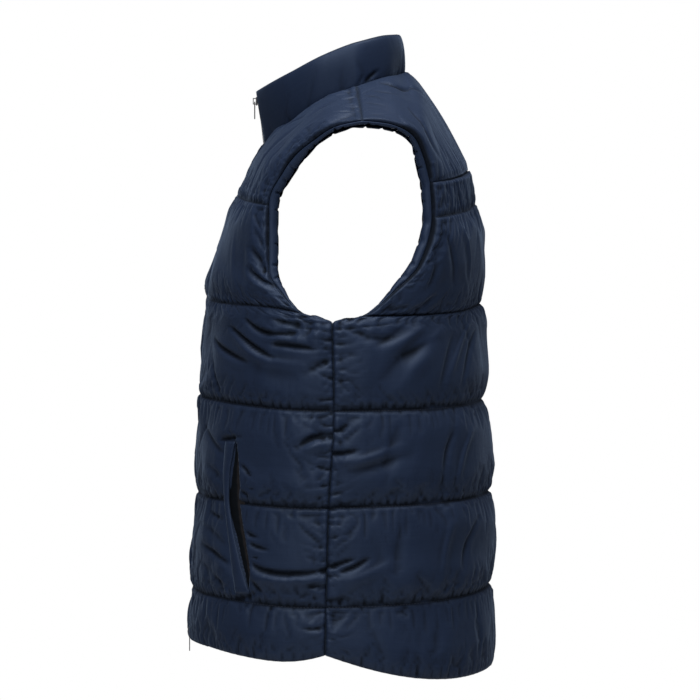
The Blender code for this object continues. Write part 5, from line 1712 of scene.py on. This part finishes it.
for name, halves in (("fronts", list(fronts.values())), ("back", back)):
    origins = []
    axes = []
    for half in halves:
        for place, section in line_places(half.table):
            if section.name in ("hem", "shoulder seam", "yoke seam"):
                continue
            found = along_row(half, int(np.argmin(np.abs(half.stations - place))))
            origins += found[0]
            axes += found[1]
    set_out(f"quilting_stitches_{name}", unit_stitch(), origins, axes, thread)

# ================================================================ camera, floor and light
# The photograph was taken from the wearer's left with a long lens, level with the waist.

VIEW_DISTANCE = 25.0
VIEW_AZIMUTH = 90.0
VIEW_TARGET = Vector((0.0, -0.0112, -0.2744))
VIEW_WIDTH = 0.784
FLOOR_Z = -1.45  # where the floor lies when the vest hangs from shoulders

angle = math.radians(VIEW_AZIMUTH)
camera_data = bpy.data.cameras.new("camera")
camera = shown_object("camera", camera_data)
camera_data.sensor_width = 36.0
camera_data.lens = 36.0 * VIEW_DISTANCE / VIEW_WIDTH
camera_data.clip_end = 200.0
camera.location = VIEW_TARGET + VIEW_DISTANCE * Vector((math.sin(angle), -math.cos(angle), 0.0))
camera.rotation_euler = (VIEW_TARGET - camera.location).to_track_quat("-Z", "Y").to_euler()
scene.camera = camera
scene.view_settings.view_transform = "Standard"

bm = bmesh.new()
bmesh.ops.create_circle(bm, cap_ends=True, segments=96, radius=2.0)
floor_mesh = mesh_of(bm, "floor")
floor = shown_object("floor", floor_mesh)
floor.location = (0, 0, FLOOR_Z)
floor_paint, _, paint = new_material("floor_paint")
paint.inputs["Base Color"].default_value = (0.85, 0.85, 0.85, 1.0)
paint.inputs["Roughness"].default_value = 0.9
floor_mesh.materials.append(floor_paint)

AMBIENT = 0.05  # strength of the white surroundings, which the camera sees at full
world = bpy.data.worlds.new("studio")
scene.world = world
world.use_nodes = True
tree = world.node_tree
sky = tree.nodes["Background"]
seen = tree.nodes.new("ShaderNodeLightPath")
strength = tree.nodes.new("ShaderNodeMapRange")
strength.inputs["To Min"].default_value = AMBIENT
strength.inputs["To Max"].default_value = 1.0
sky.inputs["Color"].default_value = (1.0, 1.0, 1.0, 1.0)
linked(tree, [
    (seen.outputs["Is Camera Ray"], strength.inputs["Value"]),
    (strength.outputs["Result"], sky.inputs["Strength"]),
])


def soft_light(name, place, size, power):
    """A large square light that looks at the vest."""
    data = bpy.data.lights.new(name, "AREA")
    data.size = size
    data.energy = power
    lamp = shown_object(name, data)
    lamp.location = place
    lamp.rotation_euler = (VIEW_TARGET - Vector(place)).to_track_quat("-Z", "Y").to_euler()


soft_light("overhead", (0.4, 0.1, 2.4), 1.6, 56)
soft_light("rear", (0.8, 1.7, 1.8), 1.6, 13)
soft_light("topside", (1.9, -0.50, 1.5), 1.6, 34)
soft_light("side", (2.6, -0.3, -0.2), 2.4, 7)
